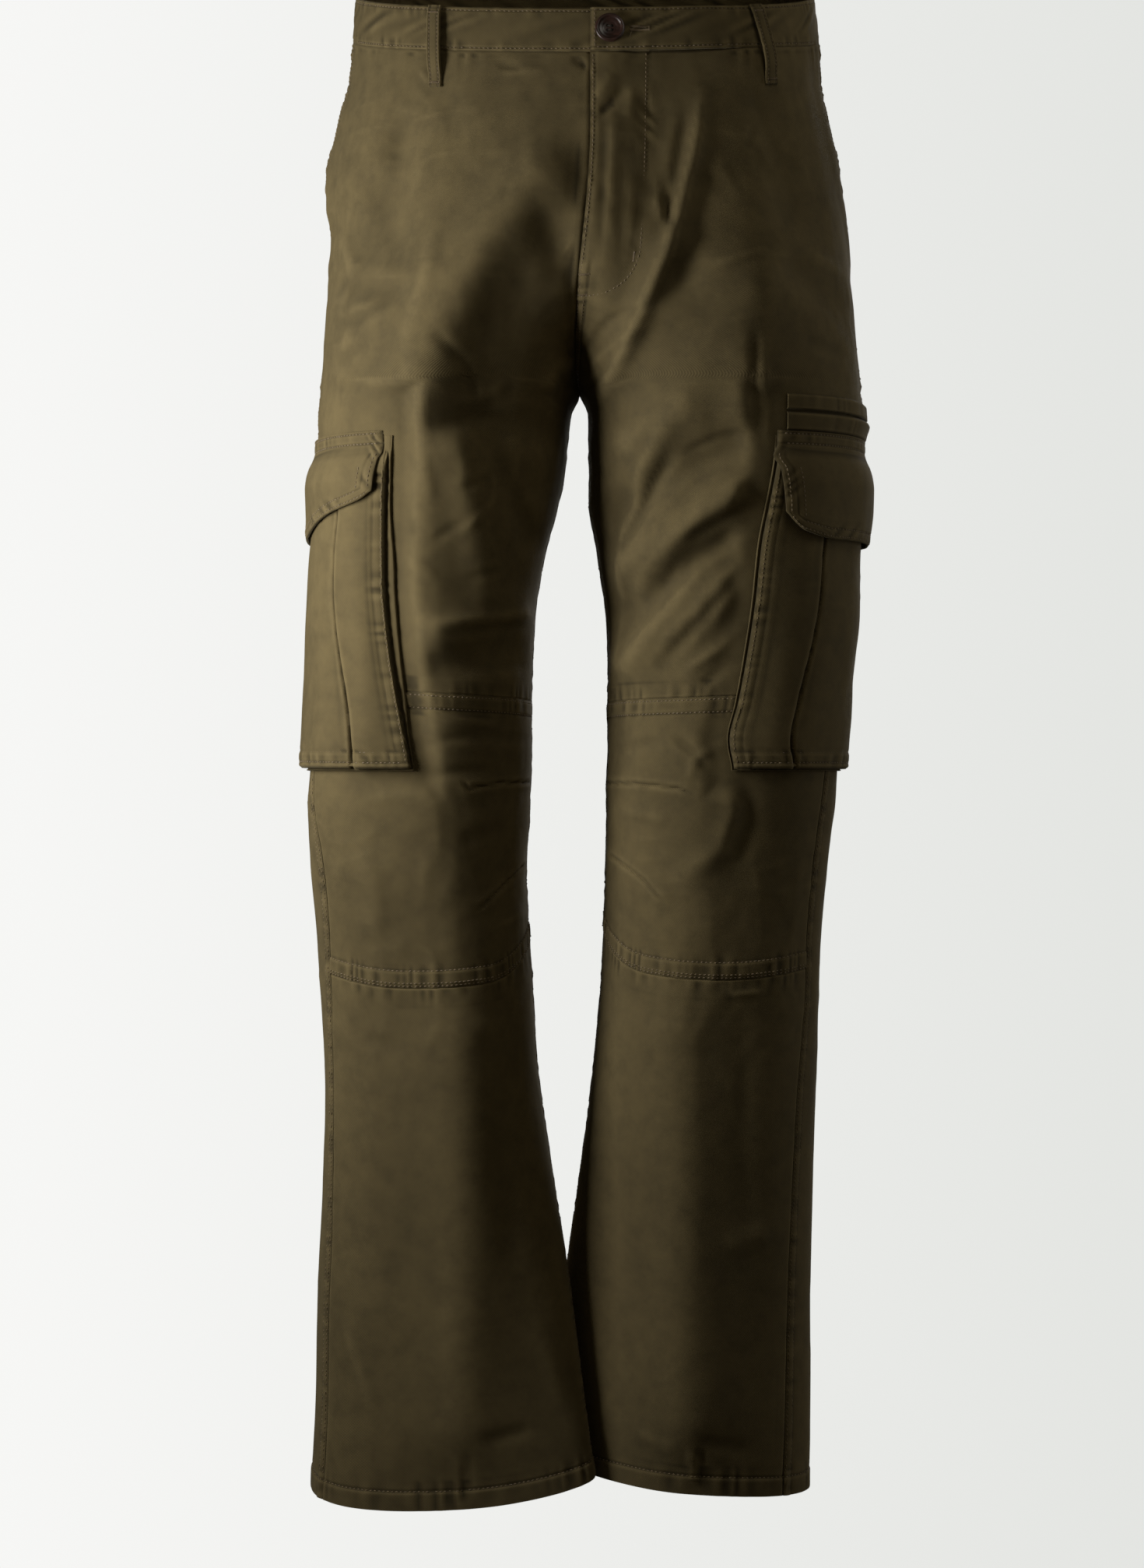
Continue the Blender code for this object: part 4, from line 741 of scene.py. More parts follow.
def bag_relief(side, angle, level, points, normals):
    """The patch of a cargo pocket: pleats, a stitched foot band, and edges turned under."""
    rear = math.radians(BAG_REAR_ANGLE)
    place = (angle - rear) / (bag_angle(side, level, 1.0) - rear)
    width = (bag_angle(side, level, 1.0) - rear) * angle_speed(side, angle, level)
    down = np.clip((BAG_TOP - level) / (BAG_TOP - BAG_BOTTOM), 0, 1)
    rows = columns(BAG_LIFT, ("down", "lift"))
    full = fade(place, 0, 0.12) * fade(1 - place, 0, 0.12)
    lift = BAG_EDGE_LIFT + (curve(rows["down"], rows["lift"], down) - BAG_EDGE_LIFT) * full
    relief = lift * MM
    for number, pleat in enumerate(PLEAT_PLACES):
        wander = 0.012 * np.sin(7 * down + 2 * number)
        across = (place - pleat - wander) * width * (1 if number else -1)
        open_ = fade(down, -0.02, 0.05)
        lap = fade(across, -0.6 * MM, 0.6 * MM)
        relief += open_ * MM * lap * (1 - fade(across, 8 * MM, 30 * MM))
        relief -= open_ * 3.6 * MM * bump(across + 0.6 * MM, 1.2 * MM)
        relief -= open_ * 0.7 * MM * (1 - fade(across, -1 * MM, 1 * MM)) * bump(across, 10 * MM)
    edge = np.minimum(place, 1 - place) * width
    up = level - BAG_BOTTOM
    relief += 0.6 * MM * pucker(level, 12 * MM, 3.0 + side) * bump(edge - 3 * MM, 6 * MM)
    low, high = up - BAG_FOOT_ROWS[0] * MM, up - BAG_FOOT_ROWS[1] * MM
    relief -= 0.5 * MM * (bump(edge - BAG_EDGE_ROW * MM, 0.9 * MM) + bump(low, 0.9 * MM))
    relief -= 0.3 * MM * bump(edge - 8.2 * MM, 0.9 * MM)
    relief += 0.55 * MM * pucker(place * width, 11 * MM, 4.0 + side) * bump(up - 6 * MM, 7 * MM)
    relief += 0.35 * MM * (1 - fade(up, 10 * MM, 11.5 * MM)) - 0.55 * MM * bump(high, 1.0 * MM)
    relief -= 1.9 * MM * (1 - fade(edge, 0, 1.8 * MM)) + 1.9 * MM * (1 - fade(up, 0, 1.8 * MM))
    swell = noise(points, (0.05, 0.05, 0.07), 41 + side)
    swell = swell + 0.5 * noise(points, (0.02, 0.02, 0.03), 43 + side)
    relief += 0.9 * MM * swell * fade(edge, 0, 20 * MM)
    relief += 0.7 * crumple(points, 47 + side) * fade(edge, 0, 9 * MM)
    return np.minimum(relief, bag_head(level))


def flap_relief(side, angle, level, points, normals):
    """Sewn down along the top, folded over the strip, then hanging clear of the patch."""
    relief = read(FLAP_LIFT, level)
    top, foot, front, rear = flap_edges(side, angle, level)
    edge = np.minimum(np.minimum(foot, front), rear)
    relief -= 1.0 * MM * (1 - fade(edge, 0, 1.6 * MM))
    near, far = (edge - row * MM for row in FLAP_EDGE_ROWS)
    grooves = bump(near, 0.7 * MM) + bump(far, 0.8 * MM)
    relief -= 0.45 * MM * grooves * fade(-level, 334 * MM, 338 * MM)
    pulls = pucker(angle * 0.1 + level, 13 * MM, 5.0 + side)
    relief += 0.6 * MM * pulls * bump(edge - 5 * MM, 5 * MM)
    near, far = (top - row * MM for row in FLAP_TOP_ROWS)
    relief -= 0.6 * MM * (bump(far, 0.9 * MM) + bump(near, 0.8 * MM))
    relief += 0.35 * MM * pucker(angle * 0.1, 11 * MM, 6.0 + side) * bump(top - 5 * MM, 4 * MM)
    lower = fade(-level, 345 * MM, 375 * MM)
    relief += lower * (1.2 * MM * noise(points, 0.05, 51 + side) + 0.7 * crumple(points, 53 + side))
    return relief


def flap_edges(side, angle, level):
    """Distances inside a flap's top, foot, front and rear edges."""
    speed = angle_speed(side, angle, level)
    rear = (angle - FLAP_REAR) * speed
    front_angle = flap_front(side, level)
    front = (front_angle - angle) * speed
    place = np.clip((angle - FLAP_REAR) / (front_angle - FLAP_REAR), 0, 1)
    foot = level - flap_foot(side, place)
    return FLAP_TOP - level, foot, front, rear


def flap_front(side, level):
    return angle_at(side, level, side * read(FLAP_FRONTS[side], level))


def flap_angle(side, level, place):
    return FLAP_REAR + (flap_front(side, level) - FLAP_REAR) * place


def flap_foot(side, place):
    edge = columns(FLAP_EDGES[side], ("place", "lower"))
    return curve(edge["place"], edge["lower"] * MM, place)


def welt_relief(which):
    pout = {"upper": 1.2, "lower": 3.2}[which]
    top, foot = WELTS[which]

    def relief(side, angle, level, points, normals):
        front = angle_at(side, level, WELT_FRONT_X)
        place = (angle - WELT_REAR) / (front - WELT_REAR)
        swell = np.sin(math.pi * np.clip(place, 0, 1))
        lean = fade(level, foot, top) if which == "lower" else fade(-level, -top, -foot)
        up = np.minimum(top - level, level - foot)
        rounded = -1.2 * MM * (1 - fade(up, 0, 1.4 * MM))
        ripple = 0.25 * MM * pucker(angle * 0.1, 12 * MM, 3.0 + pout) * bump(up - 3 * MM, 4 * MM)
        return 2.7 * MM + pout * MM * swell * (0.2 + 0.8 * lean) + rounded + ripple

    return relief


def on_cloth(relief, side, angle, level, lift=0.0):
    """Points of a piece's outer face and the form's normals there."""
    angle, level, lift = (np.array(a, float) for a in np.broadcast_arrays(angle, level, lift))
    points = base_point(side, angle, level)
    normals = base_normal(side, angle, level)
    height = relief(side, angle, level, points, normals) + lift
    return points + normals * height[..., None], normals


def beside(relief, side, edge, level, offset):
    """The same along a line a little way round from an edge."""
    return on_cloth(relief, side, edge + offset / angle_speed(side, edge, level), level)


# ---- Materials -----------------------------------------------------------------------------------


class Graph:
    """Builds shader nodes. An input is a number, a tuple or another node's output."""

    def __init__(self, tree):
        self.tree = tree

    def feed(self, made, inputs):
        for name, value in inputs.items():
            socket = made.inputs[name]
            if isinstance(value, bpy.types.NodeSocket):
                self.tree.links.new(value, socket)
            elif isinstance(value, tuple) and len(socket.default_value) > len(value):
                socket.default_value = (*value, 1)
            else:
                socket.default_value = value

    def node(self, kind, inputs, output=0, **settings):
        made = self.tree.nodes.new("ShaderNode" + kind)
        for name, value in settings.items():
            setattr(made, name, value)
        self.feed(made, inputs)
        return made.outputs[output] if len(made.outputs) else made

    def maths(self, operation, *values):
        return self.node("Math", dict(enumerate(values)), operation=operation)

    def noise(self, vector, scale, detail, rough=0.55):
        inputs = {"Vector": vector, "Scale": scale, "Detail": detail, "Roughness": rough}
        return self.node("TexNoise", inputs, "Fac")

    def wave(self, vector, direction, **inputs):
        settings = {"wave_type": "BANDS", "bands_direction": direction, "wave_profile": "SIN"}
        return self.node("TexWave", {"Vector": vector, **inputs}, "Fac", **settings)

    def ramp(self, fac, *stops):
        colour = self.node("ValToRGB", {"Fac": fac}, "Color")
        elements = colour.node.color_ramp.elements
        while len(elements) < len(stops):
            elements.new(0.5)
        for element, (place, tone) in zip(elements, stops):
            element.position = place
            element.color = (*tone, 1)
        return colour

    def blend(self, mode, fac, a, b):
        return self.node("Mix", {0: fac, 6: a, 7: b}, 2, data_type="RGBA", blend_type=mode)

    def bump(self, height, strength, distance):
        inputs = {"Height": height, "Strength": strength, "Distance": distance}
        return self.node("Bump", inputs, "Normal")


def toned(colour, factor, lift=0.0):
    return tuple(min(c * factor + lift, 1) for c in colour)


def grey(level):
    return (level,) * 3


def material(name, colour, roughness, inputs):
    look = bpy.data.materials.new(name)
    look.use_nodes = True
    look.diffuse_color = (*colour, 1)
    graph = Graph(look.node_tree)
    shader = look.node_tree.nodes["Principled BSDF"]
    graph.feed(shader, {"Base Color": colour, "Roughness": roughness, **inputs})
    return look, graph, shader


def twill(name):
    """Garment-washed olive twill: diagonal weave, mottled dye, paler where seams rub, and darker in
    hollows and seam grooves as painted shade.
    """
    sheen = {"Sheen Weight": 0.18, "Sheen Roughness": 0.45, "Sheen Tint": (0.75, 0.68, 0.48)}
    look, graph, shader = material(name, TWILL, 0.86, {**sheen, "Specular IOR Level": 0.22})
    uv = graph.node("TexCoord", {}, "UV")
    spot = graph.node("TexCoord", {}, "Object")
    wear_and_shade = graph.node("Attribute", {}, "Fac", attribute_name="wear_and_shade")
    clouds = graph.noise(spot, 9.0, 4.0)
    mottle = graph.noise(spot, 70.0, 5.0, 0.65)
    base = graph.ramp(clouds, (0.30, toned(TWILL, 0.80)), (0.52, TWILL), (0.75, toned(TWILL, 1.16)))
    patches = graph.ramp(mottle, (0.25, grey(0.78)), (0.5, grey(1.0)), (0.78, grey(1.18)))
    base = graph.blend("MULTIPLY", 1.0, base, patches)
    turned = graph.node("Mapping", {"Vector": uv, "Rotation": (0, 0, math.radians(58))})
    fine = {"Detail": 1.0, "Detail Scale": 2.0}
    ribs = graph.wave(turned, "X", Scale=340.0, Distortion=0.6, **fine)
    yarn = graph.wave(uv, "Y", Scale=620.0, Distortion=1.2)
    weave = graph.maths("MULTIPLY_ADD", ribs, 0.7, graph.maths("MULTIPLY", yarn, 0.3))
    shade = graph.ramp(weave, (0.0, grey(0.72)), (0.55, grey(1.0)), (1.0, grey(1.20)))
    base = graph.blend("MULTIPLY", 1.0, base, shade)
    crest = graph.node("Clamp", {"Value": wear_and_shade})
    speck = graph.ramp(mottle, (0.3, grey(0.45)), (0.65, grey(1.0)))
    base = graph.blend("MIX", graph.maths("MULTIPLY", crest, speck), base, toned(TWILL, 1.9, 0.01))
    # Painted shade: where the wear attribute is negative, in hollows and seam grooves, the colour is
    # darkened.
    hollow_shade = graph.node("Clamp", {"Value": graph.maths("MULTIPLY", wear_and_shade, -1.0)})
    base = graph.blend("MIX", hollow_shade, base, toned(TWILL, 0.38))
    rough = graph.maths("MULTIPLY_ADD", mottle, 0.16, 0.76)
    height = graph.maths("MULTIPLY_ADD", graph.noise(spot, 900.0, 3.0, 0.7), 0.55, weave)
    normal = graph.bump(height, 0.55, 0.00022)
    graph.feed(shader, {"Base Color": base, "Roughness": rough, "Normal": normal})
    return look


def thread(name, colour):
    """Spun cotton thread: plies along its length and a soft sheen."""
    look, graph, shader = material(name, colour, 0.7, {"Sheen Weight": 0.3})
    spot = graph.node("TexCoord", {}, "Object")
    tone = graph.noise(spot, 420.0, 3.0)
    base = graph.ramp(tone, (0.3, toned(colour, 0.72)), (0.7, toned(colour, 1.25)))
    normal = graph.bump(graph.noise(spot, 2600.0, 2.0), 0.5, 0.0001)
    graph.feed(shader, {"Base Color": base, "Normal": normal})
    return look


def horn(name, colour):
    """Moulded button: streaked dark brown with a worn, soft gloss."""
    look, graph, shader = material(name, colour, 0.32, {"Coat Weight": 0.25, "Coat Roughness": 0.2})
    spot = graph.node("TexCoord", {}, "Object")
    stretched = graph.node("Mapping", {"Vector": spot, "Scale": (1.0, 1.0, 4.0)})
    streak = graph.noise(stretched, 160.0, 5.0)
    base = graph.ramp(streak, (0.35, colour), (0.72, toned(colour, 2.6)))
    rough = graph.maths("MULTIPLY_ADD", graph.noise(spot, 900.0, 4.0), 0.28, 0.2)
    graph.feed(shader, {"Base Color": base, "Roughness": rough})
    return look


TWILL = (0.137, 0.104, 0.0455)
THREAD = (0.215, 0.150, 0.073)
CLOTH_LOOK = twill("twill")
THREAD_LOOK = thread("thread", THREAD)
# Dark thread for the button, and also the near-black painted shade of the crotch seam's allowance.
DARK_THREAD_AND_SHADE_LOOK = thread("dark_thread_and_shade", (0.030, 0.024, 0.014))
HORN_LOOK = horn("button_horn", (0.024, 0.011, 0.008))

# ---- Mesh makers ---------------------------------------------------------------------------------


def spread(length, step, fine, zone, ends=(True, True), extra=()):
    """Places from 0 to 1 along a length, close together near the ends that carry a seam.
    extra holds (place, reach) of other lines that need close rows."""
    marks = [0.0]
    at = 0.0
    while at < length - 1e-9:
        near = (ends[0] and at < zone) or (ends[1] and length - at < zone + step)
        near = near or any(abs(at - place * length) < reach for place, reach in extra)
        at = min(at + (fine if near else step), length)
        marks.append(at)
    return np.array(marks) / length


def placed(name, data):
    piece = bpy.data.objects.new(name, data)
    bpy.context.scene.collection.objects.link(piece)
    return piece


def shell(name, outer, inner, uv, wear_and_shade, look):
    """One closed cloth shell between two matching grids."""
    rows, places = outer.shape[:2]
    count = rows * places
    index = np.arange(count).reshape(rows, places)
    corners = (index[:-1, :-1], index[:-1, 1:], index[1:, 1:], index[1:, :-1])
    quads = np.stack([c.ravel() for c in corners], axis=1)
    rim = np.concatenate([index[0, :-1], index[:-1, -1], index[-1, :0:-1], index[:0:-1, 0]])
    after = np.roll(rim, -1)
    sides = np.stack([rim, after, after + count, rim + count], axis=1)
    across, down = outer[:-1, 1:] - outer[:-1, :-1], outer[1:, :-1] - outer[:-1, :-1]
    facing = -(np.cross(across, down) * (outer - inner)[:-1, :-1]).sum()
    faces = np.concatenate([quads, quads[:, ::-1] + count, sides[:, ::-1]])
    if facing < 0:
        faces = faces[:, ::-1]
    mesh = bpy.data.meshes.new(name)
    mesh.vertices.add(2 * count)
    points = np.concatenate([outer.reshape(-1, 3), inner.reshape(-1, 3)])
    mesh.vertices.foreach_set("co", points.astype(np.float32).ravel())
    mesh.loops.add(faces.size)
    mesh.loops.foreach_set("vertex_index", faces.astype(np.int32).ravel())
    mesh.polygons.add(len(faces))
    mesh.polygons.foreach_set("loop_start", (np.arange(len(faces)) * 4).astype(np.int32))
    mesh.update(calc_edges=True)
    flat = np.concatenate([uv.reshape(-1, 2), uv.reshape(-1, 2)])
    layer = mesh.uv_layers.new(name="cut")
    layer.uv.foreach_set("vector", flat[faces.ravel()].astype(np.float32).ravel())
    # Per-point wear: positive values pale the cloth as wear, negative values darken it as painted
    # shade.
    wear_and_shade_layer = mesh.attributes.new("wear_and_shade", "FLOAT", "POINT")
    wear_and_shade_layer.data.foreach_set("value", np.tile(wear_and_shade.ravel(), 2).astype(np.float32))
    mesh.shade_smooth()
    mesh.set_sharp_from_angle(angle=math.radians(55))
    mesh.materials.append(look)
    return placed(name, mesh)


def reach(points, mean=False):
    """How far along a line, or along the rows of a grid on average, each point lies."""
    steps = np.linalg.norm(np.diff(points, axis=0), axis=-1)
    steps = steps.mean(axis=1) if mean else steps
    return np.concatenate([[0], np.cumsum(steps)])


def cloth(name, relief, side, angle, level, thickness, nodes=None):
    """A piece of cloth on the form: its shell, weave direction, wear with painted shade in its
    hollows, and declarations.
    """
    outer, normals = on_cloth(relief, side, angle, level)
    inner = outer - normals * np.broadcast_to(thickness, outer.shape[:2])[..., None]
    smooth = base_point(side, angle, level)
    width = np.linalg.norm(np.diff(smooth, axis=1), axis=-1).mean(axis=0)
    u = np.concatenate([[0], np.cumsum(width)])[None, :] + 0 * level
    uv = np.stack([u, level], axis=-1)
    height = np.einsum("ijk,ijk->ij", outer - smooth, normals)
    # Pale on crests as wear, darker in hollows beside seams as painted shade.
    wear_and_shade = rub_and_hollow_shade(height, seam_rows(width)[None, :] + seam_rows(np.diff(level[:, 0]))[:, None])
    piece = shell("cloth_" + name, outer, inner, uv, wear_and_shade, CLOTH_LOOK)
    declare(piece, nodes or (name,))


def seam_rows(steps):
    """1 where the mesh lies as close as it does at seams, and 0 elsewhere."""
    close = np.abs(steps) < 1.3 * MM
    return np.maximum(np.append(close, close[-1:]), np.insert(close, 0, close[0])).astype(float)


def rub_and_hollow_shade(height, seams):
    """Paler on small crests, as wear; darker in the hollows beside seams, as painted shade."""
    blurred = height.copy()
    for _ in range(4):
        padded = np.pad(blurred, 1, mode="edge")
        blurred = (padded[:-2, 1:-1] + padded[2:, 1:-1] + padded[1:-1, :-2] + padded[1:-1, 2:]) / 4
    crest = np.clip((height - blurred) / (0.3 * MM), -1, 1)
    seams = np.clip(seams, 0, 1)
    # Positive values pale the cloth as wear; negative values darken it as painted shade in hollows
    # and seam grooves.
    return np.where(crest > 0, 0.25 + 0.1 * seams, 0.12 + 0.75 * seams) * crest


# ---- Panels --------------------------------------------------------------------------------------

# Rough widths across each panel, which set how many steps it takes
FRONT_WIDTH, KNEE_WIDTH, SHIN_WIDTH, BACK_WIDTH, BAG_WIDTH = 0.215, 0.165, 0.18, 0.30, 0.135
KNEE_LENGTH, SHIN_LENGTH, BAG_LENGTH, FLAP_LENGTH = 0.195, 0.36, 0.23, 0.072
PANEL_CLOTH = 1.0 * MM
DOUBLE_CLOTH = 1.3 * MM
GUSSET_CLOTH = 0.8 * MM
# How far under the waistband the panels run up, and how far they tuck under a neighbour
BAND_OVERLAP = 6 * MM
TUCK = 3.0 * MM
FRONT_STEP = 2.2 * MM
KNEE_STEP = 1.8 * MM
SHIN_STEP = 2.4 * MM
BACK_STEP = 4.6 * MM
FINE = 0.9 * MM


def panel_angles(side, levels, places):
    """From just under the back's raised seam, or the pocket mouth, to the centre seam or inseam."""
    outer = front_outer_angle(side, levels)
    mouth = fade(levels, MOUTH_END - 2 * MM, MOUTH_END + 2 * MM)
    outer = outer + (0.2 * MM * mouth - TUCK * (1 - mouth)) / angle_speed(side, outer, levels)
    inner = inner_angle(side, levels)
    fly = fade(levels, FLY_END, FLY_END + 22 * MM)
    seat = fade(levels, CROTCH - 6 * MM, CROTCH + 4 * MM)
    if side == RIGHT:
        tuck = (2.0 + seat * (1.0 + 7.0 * fly)) * MM
    else:
        tuck = 2.0 * MM * (1 - seat)
    inner = inner + tuck / angle_speed(side, inner, levels)
    return outer + (inner - outer) * places


def front_piece(side):
    places = spread(FRONT_WIDTH, FRONT_STEP, FINE, 11 * MM)
    top = BAND_SEAM + BAND_OVERLAP
    foot = knee_level(side, 0.0, "upper")
    down = spread(top - foot, FRONT_STEP, FINE, 9 * MM) * (top - foot)
    base = (top - down)[:, None]
    dip = (knee_level(side, places, "upper") - foot) * fade(base, -360 * MM, foot)
    levels = base + dip
    levels = np.concatenate([levels, levels[-1:] - 2 * MM, levels[-1:] - 4 * MM])
    angles = panel_angles(side, levels, places)
    cloth("front_" + NAMES[side], front_relief, side, angles, levels, PANEL_CLOTH)


def knee_piece(side):
    places = spread(KNEE_WIDTH, KNEE_STEP, FINE, 9 * MM)
    down = spread(KNEE_LENGTH, KNEE_STEP, FINE, 14 * MM)[:, None]
    upper = knee_level(side, places, "upper")
    lower = knee_level(side, places, "lower")
    levels = upper + (lower - upper) * down
    angles = panel_angles(side, levels, places)
    cloth("knee_" + NAMES[side], knee_relief, side, angles, levels, PANEL_CLOTH)


def hem_thickness(side, levels):
    up = levels - HEM[side]
    return (2.5 - 1.5 * fade(up, 11.5 * MM, 14.5 * MM) - 1.1 * (1 - fade(up, 0, 1.2 * MM))) * MM


def shin_piece(side):
    places = spread(SHIN_WIDTH, SHIN_STEP, FINE, 9 * MM)
    down = spread(SHIN_LENGTH, SHIN_STEP, FINE, 17 * MM)[:, None]
    lower = knee_level(side, places, "lower") + 4 * MM
    levels = lower + (HEM[side] - lower) * down
    angles = panel_angles(side, levels, places)
    cloth("shin_" + NAMES[side], shin_relief, side, angles, levels, hem_thickness(side, levels))


def back_piece(side):
    places = spread(BACK_WIDTH, BACK_STEP, FINE, 9 * MM)
    top = BAND_SEAM + BAND_OVERLAP
    down = spread(top - HEM[side], BACK_STEP, FINE, 15 * MM, ends=(False, True))
    levels = (top + (HEM[side] - top) * down)[:, None] + 0 * places
    outer = seam_angle(side, levels)
    inner = -inner_angle(side, levels)
    seat = fade(levels, CROTCH - 6 * MM, CROTCH + 4 * MM)
    if side == RIGHT:
        inner = inner - 3 * MM * seat / angle_speed(side, inner, levels)
    angles = outer + (inner - outer) * places
    name = "back_" + NAMES[side]
    nodes = (name, "back_lower_" + NAMES[side])
    cloth(name, back_relief, side, angles, levels, hem_thickness(side, levels), nodes)


def facing_piece(side):
    levels = np.linspace(BAND_SEAM + BAND_OVERLAP, -188 * MM, 60)[:, None]
    rear = seam_angle(side, levels)
    rear = rear - TUCK / angle_speed(side, rear, levels)
    front = mouth_angle(levels)
    front = front + 9 * MM / angle_speed(side, front, levels)
    angles = rear + (front - rear) * np.linspace(0, 1, 34)
    levels = levels + 0 * angles
    name = "pocket_facing_" + NAMES[side]
    cloth(name, facing_relief, side, angles, levels, PANEL_CLOTH)


# ---- Cargo pockets -------------------------------------------------------------------------------


def bag_piece(side):
    pleats = [(pleat, 4 * MM) for pleat in PLEAT_PLACES]
    places = spread(BAG_WIDTH, 1.9 * MM, 0.7 * MM, 7 * MM, extra=pleats)
    down = spread(BAG_LENGTH, 2.2 * MM, 0.8 * MM, 8 * MM, ends=(False, True))[:, None]
    levels = BAG_HEAD + (BAG_BOTTOM - BAG_HEAD) * down + 0 * places
    angles = bag_angle(side, levels, places)
    cloth("cargo_bag_" + NAMES[side], bag_relief, side, angles, levels, PANEL_CLOTH)


# Bellows strip across its width: how far outside the bag's edge, and how far off the leg, in mm
GUSSET_PROFILE = (
    (-1.6, 6.1), (-3.0, 5.0), (-3.6, 3.6), (-2.8, 2.3), (-1.0, 1.8), (1.5, 1.8), (4.0, 2.2),
    (6.2, 2.7), (7.6, 2.5), (8.4, 1.7), (8.6, 0.9),
)
# How wide the bellows strip lies on the leg in front of the bag at each level, in mm
FLANGES = {
    RIGHT: ((-325, 2.4), (-369, 3.0), (-423, 6.2), (-501, 4.6), (-535, 2.0), (-558, 1.6)),
    LEFT: ((-325, 1.8), (-440, 2.2), (-558, 1.6)),
}
FLANGE_FOOT = 1.6 * MM


def gusset_path(side, out):
    """Down the front edge, along the foot and up the rear edge, moved outward by out."""
    share = max(out, 0) / (GUSSET_PROFILE[-1][0] * MM)
    tucked = min(out, 0)
    foot_out = share * FLANGE_FOOT + tucked
    down = np.linspace(BAG_HEAD, BAG_BOTTOM - foot_out, 88)
    front = bag_angle(side, down, 1.0)
    wide = share * read(FLANGES[side], down) + tucked
    front = front + wide / angle_speed(side, front, down)
    rear = bag_angle(side, down, 0.0)
    rear = rear - (share * 3.0 * MM + tucked) / angle_speed(side, rear, down)
    along = np.linspace(0, 1, 54)[1:-1]
    foot = front[-1] + (rear[-1] - front[-1]) * along
    angle = np.concatenate([front, foot, rear[::-1]])
    level = np.concatenate([down, np.full_like(along, BAG_BOTTOM - foot_out), down[::-1]])
    return angle, level


def gusset_piece(side):
    profile = np.array(GUSSET_PROFILE, float)
    reached = np.concatenate([[0], np.cumsum(np.hypot(*np.diff(profile, axis=0).T))])
    at = np.linspace(0, reached[-1], 20)
    outs = np.interp(at, reached, profile[:, 0]) * MM
    lifts = np.interp(at, reached, profile[:, 1]) * MM
    rows = []
    for out, lift in zip(outs, lifts):
        angle, level = gusset_path(side, out)
        points = base_point(side, angle, level)
        normals = base_normal(side, angle, level)
        along = np.arange(len(angle)) * 2.6 * MM
        wave = 0.35 * MM * pucker(along, 13 * MM, 3.0 + side) * bump(out - 6 * MM, 4 * MM)
        height = cloth_relief(side, angle, level, points, normals)
        height = height * fade(4.5 * MM - lift, 0, 3 * MM)
        lift = np.minimum(lift, bag_head(level) - 0.6 * MM)
        rows.append(points + normals * (lift + height + wave)[:, None])
    outer = np.stack(rows, axis=1)
    loose_cloth("cargo_gusset_" + NAMES[side], outer, GUSSET_CLOTH, reached[-1] * MM)


# About how far out the middle of a leg lies
LEG_AXIS_X = 0.1


def grid_normals(points):
    across = np.gradient(points, axis=1)
    down = np.gradient(points, axis=0)
    normal = np.cross(across, down)
    return normal / np.maximum(np.linalg.norm(normal, axis=-1, keepdims=True), 1e-12)


def loose_cloth(name, outer, thickness, width):
    """A strip whose points are given; its other face lies on the side away from its normals."""
    normals = grid_normals(outer)
    leg_axis = np.array([np.sign(outer[..., 0].mean()) * LEG_AXIS_X, 0, outer[..., 2].mean()])
    if (normals * (outer - leg_axis)).sum() < 0:
        normals = -normals
    inner = outer - normals * thickness
    along = reach(outer, mean=True)
    across = np.linspace(0, width, outer.shape[1])
    uv = np.stack(np.broadcast_arrays(across, along[:, None]), axis=-1)
    wear_and_shade = np.zeros(outer.shape[:2])
    piece = shell("cloth_" + name, outer, inner, uv, wear_and_shade, CLOTH_LOOK)
    declare(piece, (name,))


def flap_piece(side):
    places = spread(FLAP_WIDTH, 1.9 * MM, 0.7 * MM, 10 * MM)
    down = spread(FLAP_LENGTH, 1.7 * MM, 0.7 * MM, 13 * MM)[:, None]
    foot = flap_foot(side, places)
    levels = FLAP_TOP + (foot - FLAP_TOP) * down
    angles = flap_angle(side, levels, places)
    cloth("cargo_flap_" + NAMES[side], flap_relief, side, angles, levels, DOUBLE_CLOTH)


def welt_piece(which):
    top, foot = WELTS[which]
    levels = np.linspace(top, foot, 18)[:, None]
    places = np.linspace(0, 1, 80)
    front = angle_at(LEFT, levels, WELT_FRONT_X)
    angles = WELT_REAR + (front - WELT_REAR) * places
    levels = levels + 0 * angles
    cloth(f"welt_{which}_left", welt_relief(which), LEFT, angles, levels, DOUBLE_CLOTH)


# ---- Waistband and loops -------------------------------------------------------------------------


# Turns round the waist in degrees: where the underlap starts and where the overlap rises on it
BAND_START = -14
LAP_START, LAP_END = 320, 336
BAND_STEPS = 290


def band_point(turn, level, lift):
    """Round the waist from the front by the wearer's right; before 0 and after 180 on the left."""
    turn, level, lift = np.broadcast_arrays(turn, level, lift)
    on_right = (turn >= 0) & (turn <= 180)
    right_points, right_normals = on_cloth(band_form, RIGHT, np.radians(90 - turn), level, lift)
    left_angle = np.radians(np.where(turn < 0, 90 + turn, turn - 270))
    left_points, left_normals = on_cloth(band_form, LEFT, left_angle, level, lift)
    keep = on_right[..., None]
    return np.where(keep, right_points, left_points), np.where(keep, right_normals, left_normals)


def band_form(side, angle, level, points, normals):
    return fold_height(side, angle, level, points, normals)


